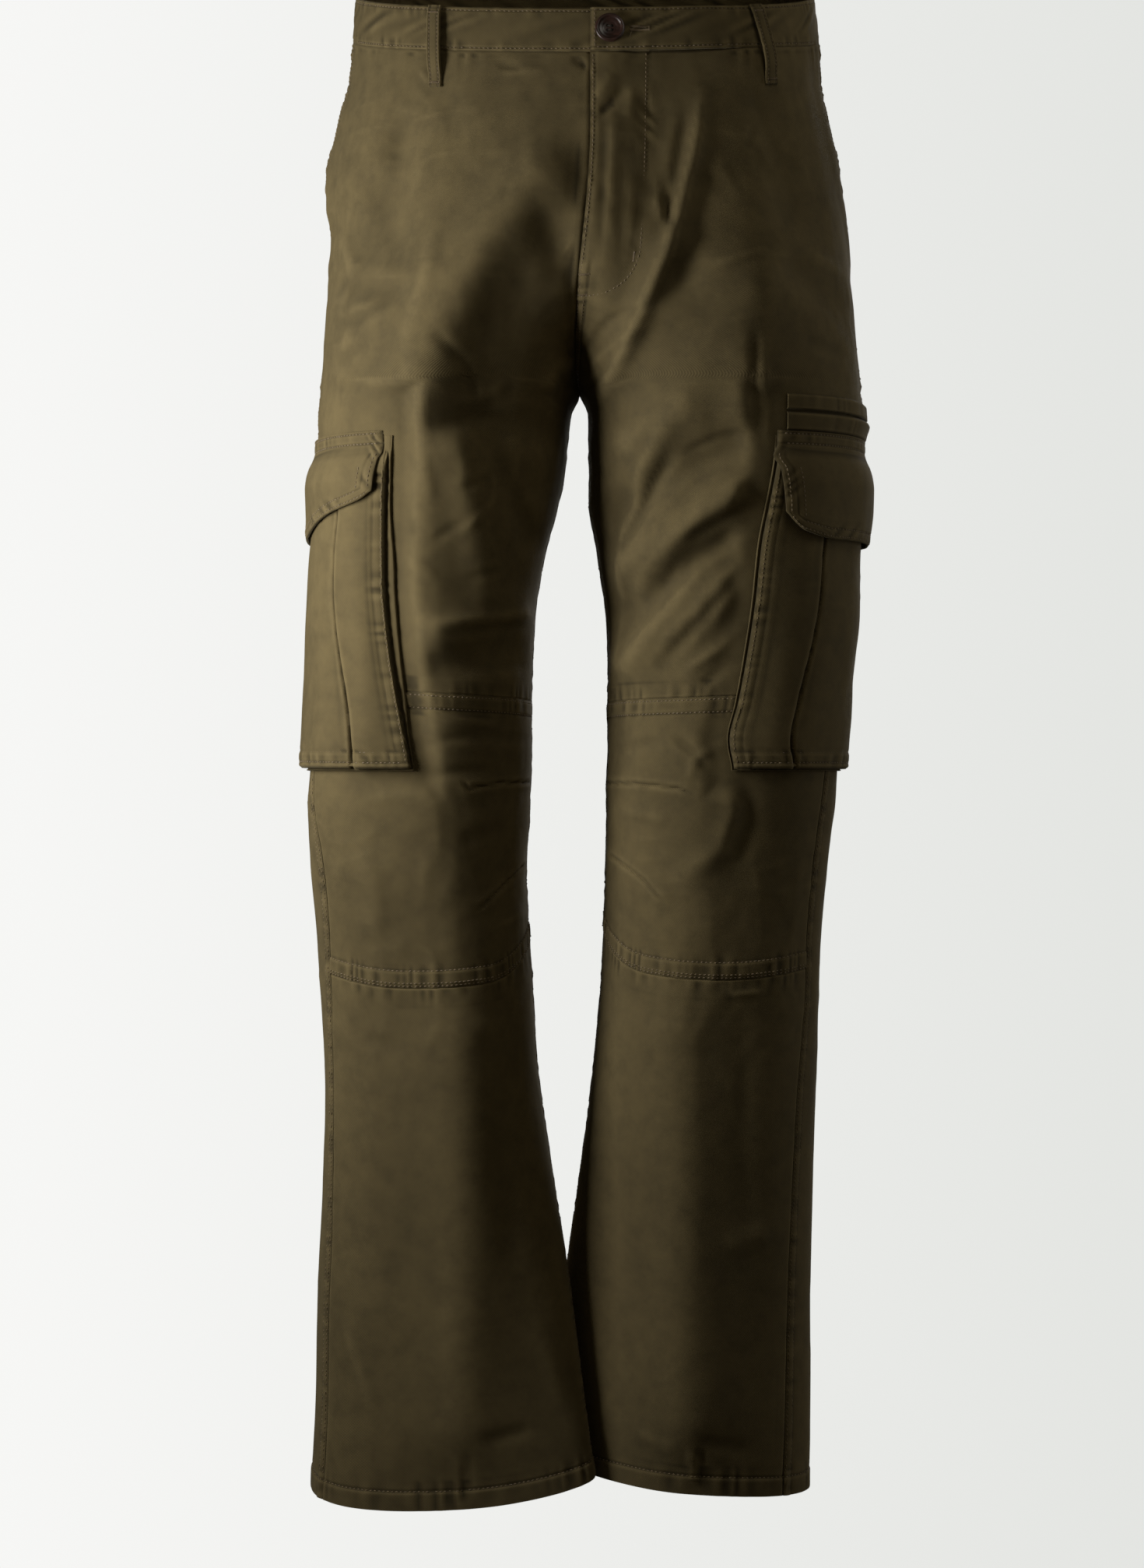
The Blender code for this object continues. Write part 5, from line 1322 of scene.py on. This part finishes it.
def band_relief(turn, level):
    """Rolled edges, two grooves under the edge stitches, and puckers along the lower seam."""
    up = level - BAND_SEAM
    down = -level
    along = turn * 2.42 * MM
    rolled = -1.3 * MM * (1 - fade(up, 0, 1.6 * MM)) - 1.2 * MM * (1 - fade(down, 0, 1.8 * MM))
    near_foot, near_top = up - BAND_FOOT_ROW * MM, down - BAND_TOP_ROW * MM
    grooves = -0.7 * MM * (bump(near_foot, 0.9 * MM) + bump(near_top, 0.9 * MM))
    lower = 0.5 * MM * pucker(along, 9.5 * MM, 2.0) * bump(up - 3 * MM, 5.0 * MM)
    upper = 0.4 * MM * pucker(along, 10.5 * MM, 5.0) * bump(down - 3.5 * MM, 4.5 * MM)
    slant = along + 1.9 * level
    middle = 0.7 * MM * pucker(slant, 27 * MM, 3.0) * bump(level + 14 * MM, 8 * MM)
    ends = 1 - fade(360 - turn, 0, 0.8) + 1 - fade(turn - BAND_START, 0, 0.8)
    return rolled + grooves + lower + upper + middle - 1.1 * MM * ends


def band_lift(turn):
    return (1.0 + 3.4 * fade(turn, LAP_START, LAP_END)) * MM


def band_surface(turn, level, lift=0.0):
    turn, level = np.broadcast_arrays(turn, level)
    lifts = band_lift(turn) + band_relief(turn, level) + lift
    points, normals = band_point(turn, level, lifts)
    uneven = 0.35 * crumple(points, 81)
    return points + normals * uneven[..., None], normals


def waistband_piece():
    ends = np.array([0, 0.15, 0.35, 0.6, 0.9, 1.3, 1.8])
    middle = np.linspace(BAND_START + 2, 358, BAND_STEPS)[1:-1]
    turn = np.concatenate([BAND_START + ends, middle, 360 - ends[::-1]])
    level = BAND_SEAM * spread(0.033, 1.3 * MM, 0.6 * MM, 5 * MM)[:, None] * 0.994
    outer, normals = band_surface(turn[None, :], level)
    thick = 2.7 * MM + np.minimum(band_relief(turn[None, :], level) + 0.2 * MM, 0) * 1.4
    inner = outer - normals * np.maximum(thick, 0.5 * MM)[..., None]
    u = reach(outer[0])
    uv = np.stack(np.broadcast_arrays(u[None, :], level + 0 * u), axis=-1)
    height = band_relief(turn[None, :], level)
    # Paler at the top edge and on crests as wear; darker in the stitch grooves as painted shade.
    wear_and_shade = rub_and_hollow_shade(height, 1.0) + 0.2 * bump(level, 2 * MM)
    piece = shell("cloth_waistband", outer, inner, uv, np.clip(wear_and_shade, -1, 1), CLOTH_LOOK)
    declare(piece, ("waistband",))


# Belt loops: name, side, angle at the top and at the foot
LOOPS = (
    ("belt_loop_front_right", RIGHT, 52.5, 53.5),
    ("belt_loop_front_left", LEFT, 47.5, 44.5),
    ("belt_loop_side_right", RIGHT, -34.0, -34.0),
    ("belt_loop_side_left", LEFT, -34.0, -34.0),
    ("belt_loop_back", RIGHT, -90.0, -90.0),
)
LOOP_LENGTH = 61.0
LOOP_HALF = 5.0 * MM
LOOP_ROW = 2.0 * MM
# How far a loop's inner face stands off the form at each level, in mm
LOOP_PATH = (
    (-61, 0.5), (-55, 0.6), (-50, 1.8), (-45, 3.0), (-38, 3.8), (-28, 4.1), (-17, 4.1), (-8, 3.8),
    (-4, 3.1), (-2, 1.8), (0, 1.5),
)


def loop_form(side, angle, level, points, normals):
    return fold_height(side, angle, level, points, normals) + 0.25 * crumple(points, 85)


def loop_surface(side, top_angle, foot_angle, share, across, lift=0.0):
    """share runs from 0 at the foot to 1 at the top, across from -1 to 1."""
    level = (-LOOP_LENGTH + LOOP_LENGTH * share) * MM + 0 * across
    clear = read(LOOP_PATH, level)
    middle = np.radians(foot_angle + (top_angle - foot_angle) * share)
    half = LOOP_HALF / angle_speed(side, middle + 0 * across, level)
    angle = middle + half * across
    edge = (1 - np.abs(across)) * LOOP_HALF
    stitched = bump(edge - LOOP_ROW, 0.7 * MM)
    relief = 0.2 * MM * bump(edge - 0.9 * MM, 0.8 * MM) - 0.45 * MM * stitched
    up = share * LOOP_LENGTH * MM
    relief = relief + 0.16 * MM * pucker(up + across * MM, 7 * MM, 2.0 + side) * bump(edge, 2 * MM)
    relief -= 0.6 * MM * (1 - fade(edge, 0, 0.9 * MM))
    tacked = bump(up - 3.2 * MM, 1.4 * MM) + bump(LOOP_LENGTH * MM - up - 6 * MM, 1.4 * MM)
    relief -= 0.3 * MM * tacked
    return on_cloth(loop_form, side, angle, level, clear + 1.5 * MM + relief + lift)


def loop_piece(name, side, top_angle, foot_angle):
    share = np.linspace(0, 1, 66)[:, None]
    across = np.linspace(-1, 1, 15)
    outer, normals = loop_surface(side, top_angle, foot_angle, share, across)
    edge = (1 - np.abs(across)) * LOOP_HALF
    thick = (1.3 - 0.7 * (1 - fade(edge, 0, 0.9 * MM))) * MM
    inner = outer - normals * thick[None, :, None]
    uv = np.stack(np.broadcast_arrays(across * LOOP_HALF, share * LOOP_LENGTH * MM), axis=-1)
    # Paler along the edges as wear; darker along the stitch rows as painted shade.
    wear_and_shade = 0.35 * bump(edge - 0.6 * MM, 0.9 * MM) - 0.9 * bump(edge - LOOP_ROW, 0.7 * MM)
    piece = shell("cloth_" + name, outer, inner, uv, wear_and_shade + 0 * share, CLOTH_LOOK)
    declare(piece, (name,))


def declare(piece, nodes):
    """Attaches the piece to the root and hides the imported parts it stands for."""
    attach(piece, "root")
    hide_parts(*nodes)


# ---- Stitches ------------------------------------------------------------------------------------


def resample(points, normals, pitch, start=0.0):
    reached = reach(points)
    at = np.arange(start, reached[-1] - 0.4 * pitch, pitch)

    def along_line(values, places):
        return np.stack([np.interp(places, reached, values[:, k]) for k in range(3)], axis=1)

    spots, facing = along_line(points, at), along_line(normals, at)
    along = along_line(points, at + 0.3 * pitch) - along_line(points, at - 0.3 * pitch)
    along = along / np.maximum(np.linalg.norm(along, axis=1, keepdims=True), 1e-9)
    facing = facing / np.linalg.norm(facing, axis=1, keepdims=True)
    return spots, along, facing


def spindles(spots, along, facing, length, radius):
    """A small closed thread on each spot: two tips and two rings of four."""
    across = np.cross(facing, along)
    ring = np.array([[1, 0], [0, 1], [-1, 0], [0, -1]])
    points = []
    for place, size, sink in ((-0.5, 0, 1), (-0.2, 1, 0), (0.2, 1, 0), (0.5, 0, 1)):
        centre = spots + along * (length * place) - facing * (radius * 0.7 * sink)
        if size:
            for a, b in ring:
                points.append(centre + across * (a * radius) + facing * (b * radius * 0.8))
        else:
            points.append(centre)
    points = np.stack(points, axis=1)
    faces = []
    for k in range(4):
        n = (k + 1) % 4
        faces += [(0, 1 + k, 1 + n), (1 + k, 5 + k, 5 + n)]
        faces += [(1 + k, 5 + n, 1 + n), (9, 5 + n, 5 + k)]
    faces = np.array(faces)
    count = len(spots)
    all_faces = faces[None] + 10 * np.arange(count)[:, None, None]
    return points.reshape(-1, 3), all_faces.reshape(-1, 3)


class Seamstress:
    """Collects stitches and makes one piece of thread of them."""

    def __init__(self, name, look):
        self.name, self.look = name, look
        self.points, self.faces, self.count = [], [], 0

    def add(self, points, faces):
        self.points.append(points)
        self.faces.append(faces + self.count)
        self.count += len(points)

    def row(self, points, normals, pitch=3.2 * MM, length=2.3 * MM, radius=0.36 * MM, start=0.0):
        spots, along, facing = resample(points, normals, pitch, start)
        if len(spots):
            self.add(*spindles(spots + facing * (0.16 * MM), along, facing, length, radius))

    def tack(self, points, normals, height, pitch=0.5 * MM, radius=0.24 * MM):
        """A bar tack: close threads across a short line."""
        spots, along, facing = resample(points, normals, pitch)
        if len(spots):
            across = np.cross(facing, along)
            self.add(*spindles(spots + facing * (0.3 * MM), across, facing, height, radius))

    def make(self):
        mesh = bpy.data.meshes.new(self.name)
        points, faces = np.concatenate(self.points), np.concatenate(self.faces)
        mesh.from_pydata(points.tolist(), [], faces.tolist())
        mesh.shade_smooth()
        mesh.materials.append(self.look)
        piece = placed(self.name, mesh)
        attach(piece, "root")


def sew_leg(side):
    thread = Seamstress("stitches_leg_" + NAMES[side], THREAD_LOOK)
    level = np.arange(BAND_SEAM - 1 * MM, HEM[side] + 14 * MM, -1.0 * MM)
    seam = seam_angle(side, level)
    for offset in SIDE_ROWS:
        line = beside(back_relief, side, seam, level, -offset * MM)
        thread.row(*line, start=offset * 0.4 * MM)
    level = level[level > MOUTH_END - 8 * MM]
    mouth = front_outer_angle(side, level)
    for offset in MOUTH_ROWS:
        line = beside(front_relief, side, mouth, level, offset * MM)
        thread.row(*line, start=offset * 0.3 * MM)
    thread.tack(*beside(front_relief, side, mouth[-8:], level[-8:], 4 * MM), 5 * MM)
    place = np.linspace(0.006, 0.994, 400)
    for which, offsets in KNEE_ROWS.items():
        for offset in offsets:
            levels = knee_level(side, place, which) + offset * MM
            angles = panel_angles(side, levels, place)
            thread.row(*on_cloth(knee_relief, side, angles, levels), start=abs(offset) * 0.4 * MM)
    place = np.linspace(0, 1, 500)
    levels = HEM[side] + HEM_STITCH + 0 * place
    thread.row(*on_cloth(shin_relief, side, panel_angles(side, levels, place), levels))
    inner = inner_angle(side, levels)
    outer = seam_angle(side, levels)
    angles = outer + (-inner - outer) * place
    thread.row(*on_cloth(back_relief, side, angles, levels))
    level = np.arange(CROTCH - 6 * MM, HEM[side] + 14 * MM, -1.0 * MM)
    inner = -inner_angle(side, level)
    for offset in INSEAM_ROWS:
        thread.row(*beside(back_relief, side, inner, level, offset * MM))
    thread.make()


def sew_fly_and_seat():
    thread = Seamstress("stitches_fly", THREAD_LOOK)
    path = np.array(FLY_STITCH, float)
    reached = np.concatenate([[0], np.cumsum(np.hypot(*np.diff(path, axis=0).T))])
    at = np.arange(0, reached[-1], 0.8)
    level = curve(reached, path[:, 0], at) * MM
    width = curve(reached, path[:, 1], at) * MM

    def in_front(level, offset):
        return beside(front_relief, LEFT, inner_angle(LEFT, level), level, -offset)

    thread.row(*in_front(level, width))
    level = np.arange(CENTRE_SEAM_TOP, CROTCH + 2 * MM, -1.0 * MM)
    for offset in CENTRE_FRONT_ROWS:
        thread.row(*in_front(level, offset * MM))
    thread.row(*in_front(np.arange(-36 * MM, -222 * MM, -1.0 * MM), FLY_EDGE_ROW * MM))
    for tack in (-205, -221):
        thread.tack(*in_front(np.full(9, tack * MM), np.linspace(0.5, 9, 9) * MM), 1.6 * MM)
    thread.tack(*in_front(np.linspace(-189, -197, 9) * MM, 36 * MM), 1.8 * MM)
    level = np.arange(BAND_SEAM - 1 * MM, CROTCH + 2 * MM, -1.0 * MM)
    for offset in CENTRE_BACK_ROWS:
        thread.row(*beside(back_relief, LEFT, -inner_angle(LEFT, level), level, offset * MM))
    thread.make()


def sew_band():
    thread = Seamstress("stitches_waistband", THREAD_LOOK)
    turn = np.linspace(-10, 359.3, 1400)
    for level in (BAND_SEAM + BAND_FOOT_ROW * MM, -BAND_TOP_ROW * MM):
        thread.row(*band_surface(turn, level + 0 * turn), start=abs(level) * 0.1)
    level = np.linspace(-2.8, -31, 60) * MM
    thread.row(*band_surface(359.0 + 0 * level, level))
    for _, side, top_angle, foot_angle in LOOPS:
        share = np.linspace(0.02, 0.98, 100)
        inset = 1 - LOOP_ROW / LOOP_HALF
        for across in (-inset, inset):
            points, normals = loop_surface(side, top_angle, foot_angle, share, across + 0 * share)
            thread.row(points, normals, 2.9 * MM, 2.1 * MM)
        for share in (0.055, 0.90):
            across = np.linspace(-0.78, 0.78, 9)
            points, normals = loop_surface(side, top_angle, foot_angle, share + 0 * across, across)
            thread.tack(points, normals, 1.9 * MM)
    thread.make()


def sew_pocket(side):
    thread = Seamstress("stitches_cargo_" + NAMES[side], THREAD_LOOK)
    rear = math.radians(BAG_REAR_ANGLE)
    level = np.arange(BAG_TOP, BAG_BOTTOM + 3 * MM, -1.0 * MM)
    speed = angle_speed(side, bag_angle(side, level, 0.5), level)
    width = (bag_angle(side, level, 1.0) - rear) * speed

    def on_bag(place, level):
        return on_cloth(bag_relief, side, bag_angle(side, level, place), level)

    def on_flap(place, level):
        return on_cloth(flap_relief, side, flap_angle(side, level, place), level)

    inset = BAG_EDGE_ROW * MM / width
    for place in (1 - inset, inset):
        thread.row(*on_bag(place, level))
    place = np.linspace(0.02, 0.98, 300)
    for up in BAG_FOOT_ROWS:
        thread.row(*on_bag(place, BAG_BOTTOM + up * MM + 0 * place))
    place = np.linspace(0.015, 0.985, 300)
    for down in FLAP_TOP_ROWS:
        thread.row(*on_flap(place, FLAP_TOP - down * MM + 0 * place), start=down * 0.3 * MM)
    for inset in FLAP_EDGE_ROWS:
        low = np.linspace(0.0, 1.0, 300)
        share = inset * MM / FLAP_WIDTH
        place = share + (1 - 2 * share) * low
        angles = flap_angle(side, flap_foot(side, low) + inset * MM, place)
        thread.row(*on_cloth(flap_relief, side, angles, flap_foot(side, place) + inset * MM))
        for end in (share, 1 - share):
            bottom = flap_foot(side, np.array(end)) + inset * MM
            levels = np.arange(FLAP_TOP - 13 * MM - 1.6 * inset * MM, float(bottom), -1.0 * MM)
            thread.row(*on_flap(end, levels))
    thread.make()


# ---- Button --------------------------------------------------------------------------------------

BUTTON_RADIUS = 10.3 * MM
BUTTON_THICKNESS = 3.4 * MM
BUTTON_LEVEL = -17.0
BUTTON_X = 17.5 * MM
BUTTON_HOLE_RADIUS = 0.95 * MM
BUTTON_HOLE_REACH = 2.1 * MM
BUTTON_PROFILE = (
    (0.0, 0.40), (0.40, 0.42), (0.47, 0.47), (0.52, 0.60), (0.66, 0.64), (0.72, 0.70), (0.77, 0.90),
    (0.82, 0.98), (0.87, 1.00), (0.93, 0.96), (0.98, 0.82), (1.00, 0.62), (0.985, 0.38),
    (0.93, 0.18), (0.82, 0.06), (0.70, 0.00), (0.0, 0.0),
)


def button_turn():
    return math.degrees(float(angle_at(LEFT, BUTTON_LEVEL * MM, BUTTON_X))) + 270


def button_place():
    level = BUTTON_LEVEL * MM
    turn = button_turn()
    spot, normal = band_surface(np.array([turn]), np.array([level]))
    facing = Vector(normal[0])
    spot = Vector(spot[0]) + facing * (0.35 * MM)
    return Matrix.Translation(spot) @ facing.to_track_quat("Z", "Y").to_matrix().to_4x4()


def button_piece():
    place = button_place()
    steps = 72
    turn = np.linspace(0, 2 * math.pi, steps, endpoint=False)
    body = bmesh.new()
    rings = []
    for out, up in BUTTON_PROFILE:
        z = up * BUTTON_THICKNESS
        if out == 0:
            rings.append([body.verts.new((0, 0, z))])
        else:
            radius = out * BUTTON_RADIUS
            around = [(radius * math.cos(t), radius * math.sin(t), z) for t in turn]
            rings.append([body.verts.new(corner) for corner in around])
    for upper, lower in zip(rings, rings[1:]):
        for k in range(steps):
            n = (k + 1) % steps
            if len(upper) == 1:
                body.faces.new((upper[0], lower[k], lower[n]))
            elif len(lower) == 1:
                body.faces.new((upper[k], lower[0], upper[n]))
            else:
                body.faces.new((upper[k], lower[k], lower[n], upper[n]))
    bmesh.ops.recalc_face_normals(body, faces=body.faces)
    mesh = bpy.data.meshes.new("button_disc")
    body.to_mesh(mesh)
    body.free()
    disc = placed("button_disc", mesh)
    holes = []
    for quarter in range(4):
        around = math.radians(45 + 90 * quarter)
        x, y = BUTTON_HOLE_REACH * math.cos(around), BUTTON_HOLE_REACH * math.sin(around)
        bpy.ops.mesh.primitive_cylinder_add(
            vertices=24,
            radius=BUTTON_HOLE_RADIUS,
            depth=12 * MM,
            location=(x, y, 0),
        )
        hole = bpy.context.object
        cut = disc.modifiers.new("hole", "BOOLEAN")
        cut.object = hole
        cut.operation = "DIFFERENCE"
        holes.append(hole)
    bpy.context.view_layer.update()
    shown = disc.evaluated_get(bpy.context.evaluated_depsgraph_get())
    drilled = bpy.data.meshes.new_from_object(shown)
    disc.modifiers.clear()
    disc.data = drilled
    for hole in holes:
        bpy.data.objects.remove(hole, do_unlink=True)
    drilled.transform(place)
    drilled.shade_smooth()
    drilled.set_sharp_from_angle(angle=math.radians(38))
    drilled.materials.clear()
    drilled.materials.append(HORN_LOOK)
    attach(disc, "root")
    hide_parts("button")
    return place


def tube(points, radius, sides=8):
    """A closed round thread along points."""
    points = np.array(points, float)
    ahead = np.gradient(points, axis=0)
    ahead /= np.linalg.norm(ahead, axis=1, keepdims=True)
    aside = np.cross(ahead, [0.3, 0.2, 0.9])
    aside /= np.linalg.norm(aside, axis=1, keepdims=True)
    up = np.cross(ahead, aside)
    rings = []
    for k in range(sides):
        t = 2 * math.pi * k / sides
        rings.append(points + radius * (math.cos(t) * aside + math.sin(t) * up))
    verts = np.stack(rings, axis=1).reshape(-1, 3)
    faces = []
    for i in range(len(points) - 1):
        for k in range(sides):
            n = (k + 1) % sides
            a, b = i * sides + k, i * sides + n
            faces += [(a, b, b + sides), (a, b + sides, a + sides)]
    last = (len(points) - 1) * sides
    for k in range(1, sides - 1):
        faces += [(0, k + 1, k), (last, last + k, last + k + 1)]
    return verts, np.array(faces)


def crotch_shade_roll():
    """The folded allowance inside the crotch seam, coloured near-black as painted shade in the seam's
    gap.
    """
    level = np.linspace(CENTRE_SEAM_TOP - 2 * MM, CROTCH, 60)
    edge = inner_angle(LEFT, level)
    front, ahead = on_cloth(front_relief, LEFT, edge, level)
    rear, behind = on_cloth(back_relief, LEFT, -edge, level)
    normals = np.concatenate([ahead, behind[::-1]])
    path = np.concatenate([front, rear[::-1]]) - normals * (2.0 * MM) - [0.2 * MM, 0, 0]
    roll = Seamstress("seam_roll_crotch_shade", DARK_THREAD_AND_SHADE_LOOK)
    roll.add(*tube(path, 1.2 * MM))
    roll.make()


def button_threads(place):
    thread = Seamstress("button_threads", DARK_THREAD_AND_SHADE_LOOK)
    top = 0.42 * BUTTON_THICKNESS
    for k in range(4):
        shift = (k - 1.5) * 0.36 * MM
        for a, b in (((-1, 1), (1, 1)), ((-1, -1), (1, -1))):
            start = np.array([a[0] * 1.5, a[1] * 1.5 + shift * 500, 0]) * MM
            end = np.array([b[0] * 1.5, b[1] * 1.5 + shift * 500, 0]) * MM
            share = np.linspace(0, 1, 9)[:, None]
            line = start + (end - start) * share
            line[:, 2] = top + 0.45 * MM * np.sin(math.pi * share[:, 0]) - 0.2 * MM
            line = np.concatenate([line[:1] - [0, 0, 1.2 * MM], line, line[-1:] - [0, 0, 1.2 * MM]])
            thread.add(*tube([tuple(place @ Vector(p)) for p in line], 0.17 * MM))
    thread.make()
    hole = Seamstress("buttonhole_threads", THREAD_LOOK)
    turn0 = button_turn()
    turn = turn0 - np.linspace(4.6, 8.8, 40)
    for offset in (-1.1, 1.1):
        points, normals = band_surface(turn, (BUTTON_LEVEL + offset) * MM + 0 * turn)
        hole.tack(points, normals, 1.9 * MM, 0.45 * MM, 0.22 * MM)
    across = np.linspace(-1, 1, 9)
    points, normals = band_surface(turn0 - 8.9 + 0 * across, (BUTTON_LEVEL + 1.8 * across) * MM)
    hole.tack(points, normals, 1.6 * MM)
    base, normal = band_surface(np.array([turn0 - 5.0]), np.array([(BUTTON_LEVEL + 0.5) * MM]))
    rise = np.linspace(0, 1, 16)
    droop = -9 * rise + 14 * rise * (1 - rise)
    swirl = np.stack([1.6 * np.sin(5 * rise), 0.8 * rise, droop], axis=1) * MM
    wisp = base + normal * (0.7 * MM + 1.6 * MM * np.sin(math.pi * rise))[:, None] + swirl
    hole.add(*tube(wisp, 0.13 * MM, 6))
    hole.make()


# ---- Build ---------------------------------------------------------------------------------------

for half in (RIGHT, LEFT):
    front_piece(half)
    knee_piece(half)
    shin_piece(half)
    back_piece(half)
    facing_piece(half)
    bag_piece(half)
    gusset_piece(half)
    flap_piece(half)
    sew_leg(half)
    sew_pocket(half)
welt_piece("upper")
welt_piece("lower")
waistband_piece()
for loop in LOOPS:
    loop_piece(*loop)
sew_fly_and_seat()
crotch_shade_roll()
sew_band()
button_threads(button_piece())

# ---- Camera, floor and light ---------------------------------------------------------------------

IMAGE_HEIGHT = 2014
PIXEL = 0.56 * MM
CAMERA_DISTANCE = 2.6
SENSOR = 36

camera_data = bpy.data.cameras.new("camera")
camera_data.lens = SENSOR * CAMERA_DISTANCE / (IMAGE_HEIGHT * PIXEL)
camera_data.dof.use_dof = False
camera = placed("camera", camera_data)
camera.location = (-0.0084, -CAMERA_DISTANCE, -0.566)
camera.rotation_euler = (math.radians(90), 0, 0)
bpy.context.scene.camera = camera

FLOOR_Z = -1.48
FLOOR_RADIUS = 1.5
bpy.ops.mesh.primitive_circle_add(
    vertices=96, radius=FLOOR_RADIUS, fill_type="NGON", location=(0, 0, FLOOR_Z)
)
floor = bpy.context.object
floor.name = "floor"
glow = {"Emission Color": (1.0, 1.0, 0.98), "Emission Strength": 0.36}
floor.data.materials.append(material("floor_pale", (0.8, 0.8, 0.79), 0.9, glow)[0])
floor.visible_diffuse = False
floor.visible_glossy = False


def area_light(name, place, aim, size, power, colour):
    lamp = bpy.data.lights.new(name, "AREA")
    lamp.shape = "RECTANGLE"
    lamp.size, lamp.size_y = size
    lamp.energy, lamp.color = power, colour
    rig = placed(name, lamp)
    rig.location = place
    rig.rotation_euler = (Vector(aim) - Vector(place)).to_track_quat("-Z", "Y").to_euler()


area_light("key", (-0.65, -0.36, -0.33), (-0.12, 0, -0.39), (0.24, 0.46), 5.4, (1.0, 0.985, 0.96))
area_light("high", (0.55, -0.66, 0.5), (0.10, 0, -0.1), (0.5, 0.4), 0.95, (1.0, 0.95, 0.84))
area_light("fill", (0.9, -1.7, 0.8), (0, 0, -0.2), (1.0, 1.0), 0.8, (1.0, 0.93, 0.78))
area_light("edge", (2.3, 0.35, -0.3), (0.1, 0, -0.5), (0.7, 1.6), 5.0, (1.0, 0.98, 0.95))
area_light("behind", (0.5, 3.0, 0.4), (0, 0, -0.5), (2.4, 2.0), 40.0, (1.0, 0.98, 0.95))

world = bpy.data.worlds.new("studio")
bpy.context.scene.world = world
world.use_nodes = True
world.node_tree.nodes.clear()
sky = Graph(world.node_tree)
ambient = sky.node("Background", {"Color": (1.0, 0.88, 0.64), "Strength": 0.034})
direction = sky.node("SeparateXYZ", {0: sky.node("TexCoord", {}, "Generated")}, "X")
shade = sky.node("MapRange", {"Value": direction, "From Min": -0.15, "From Max": 0.15})
backdrop = sky.blend("MIX", shade, (0.925, 0.925, 0.910), (0.775, 0.785, 0.760))
background = sky.node("Background", {"Color": backdrop, "Strength": 1.0})
seen = sky.node("LightPath", {}, "Is Camera Ray")
sky.node("OutputWorld", {"Surface": sky.node("MixShader", {0: seen, 1: ambient, 2: background})})

bpy.context.scene.view_settings.view_transform = "Standard"
bpy.context.scene.view_settings.look = "None"

bpy.context.view_layer.update()
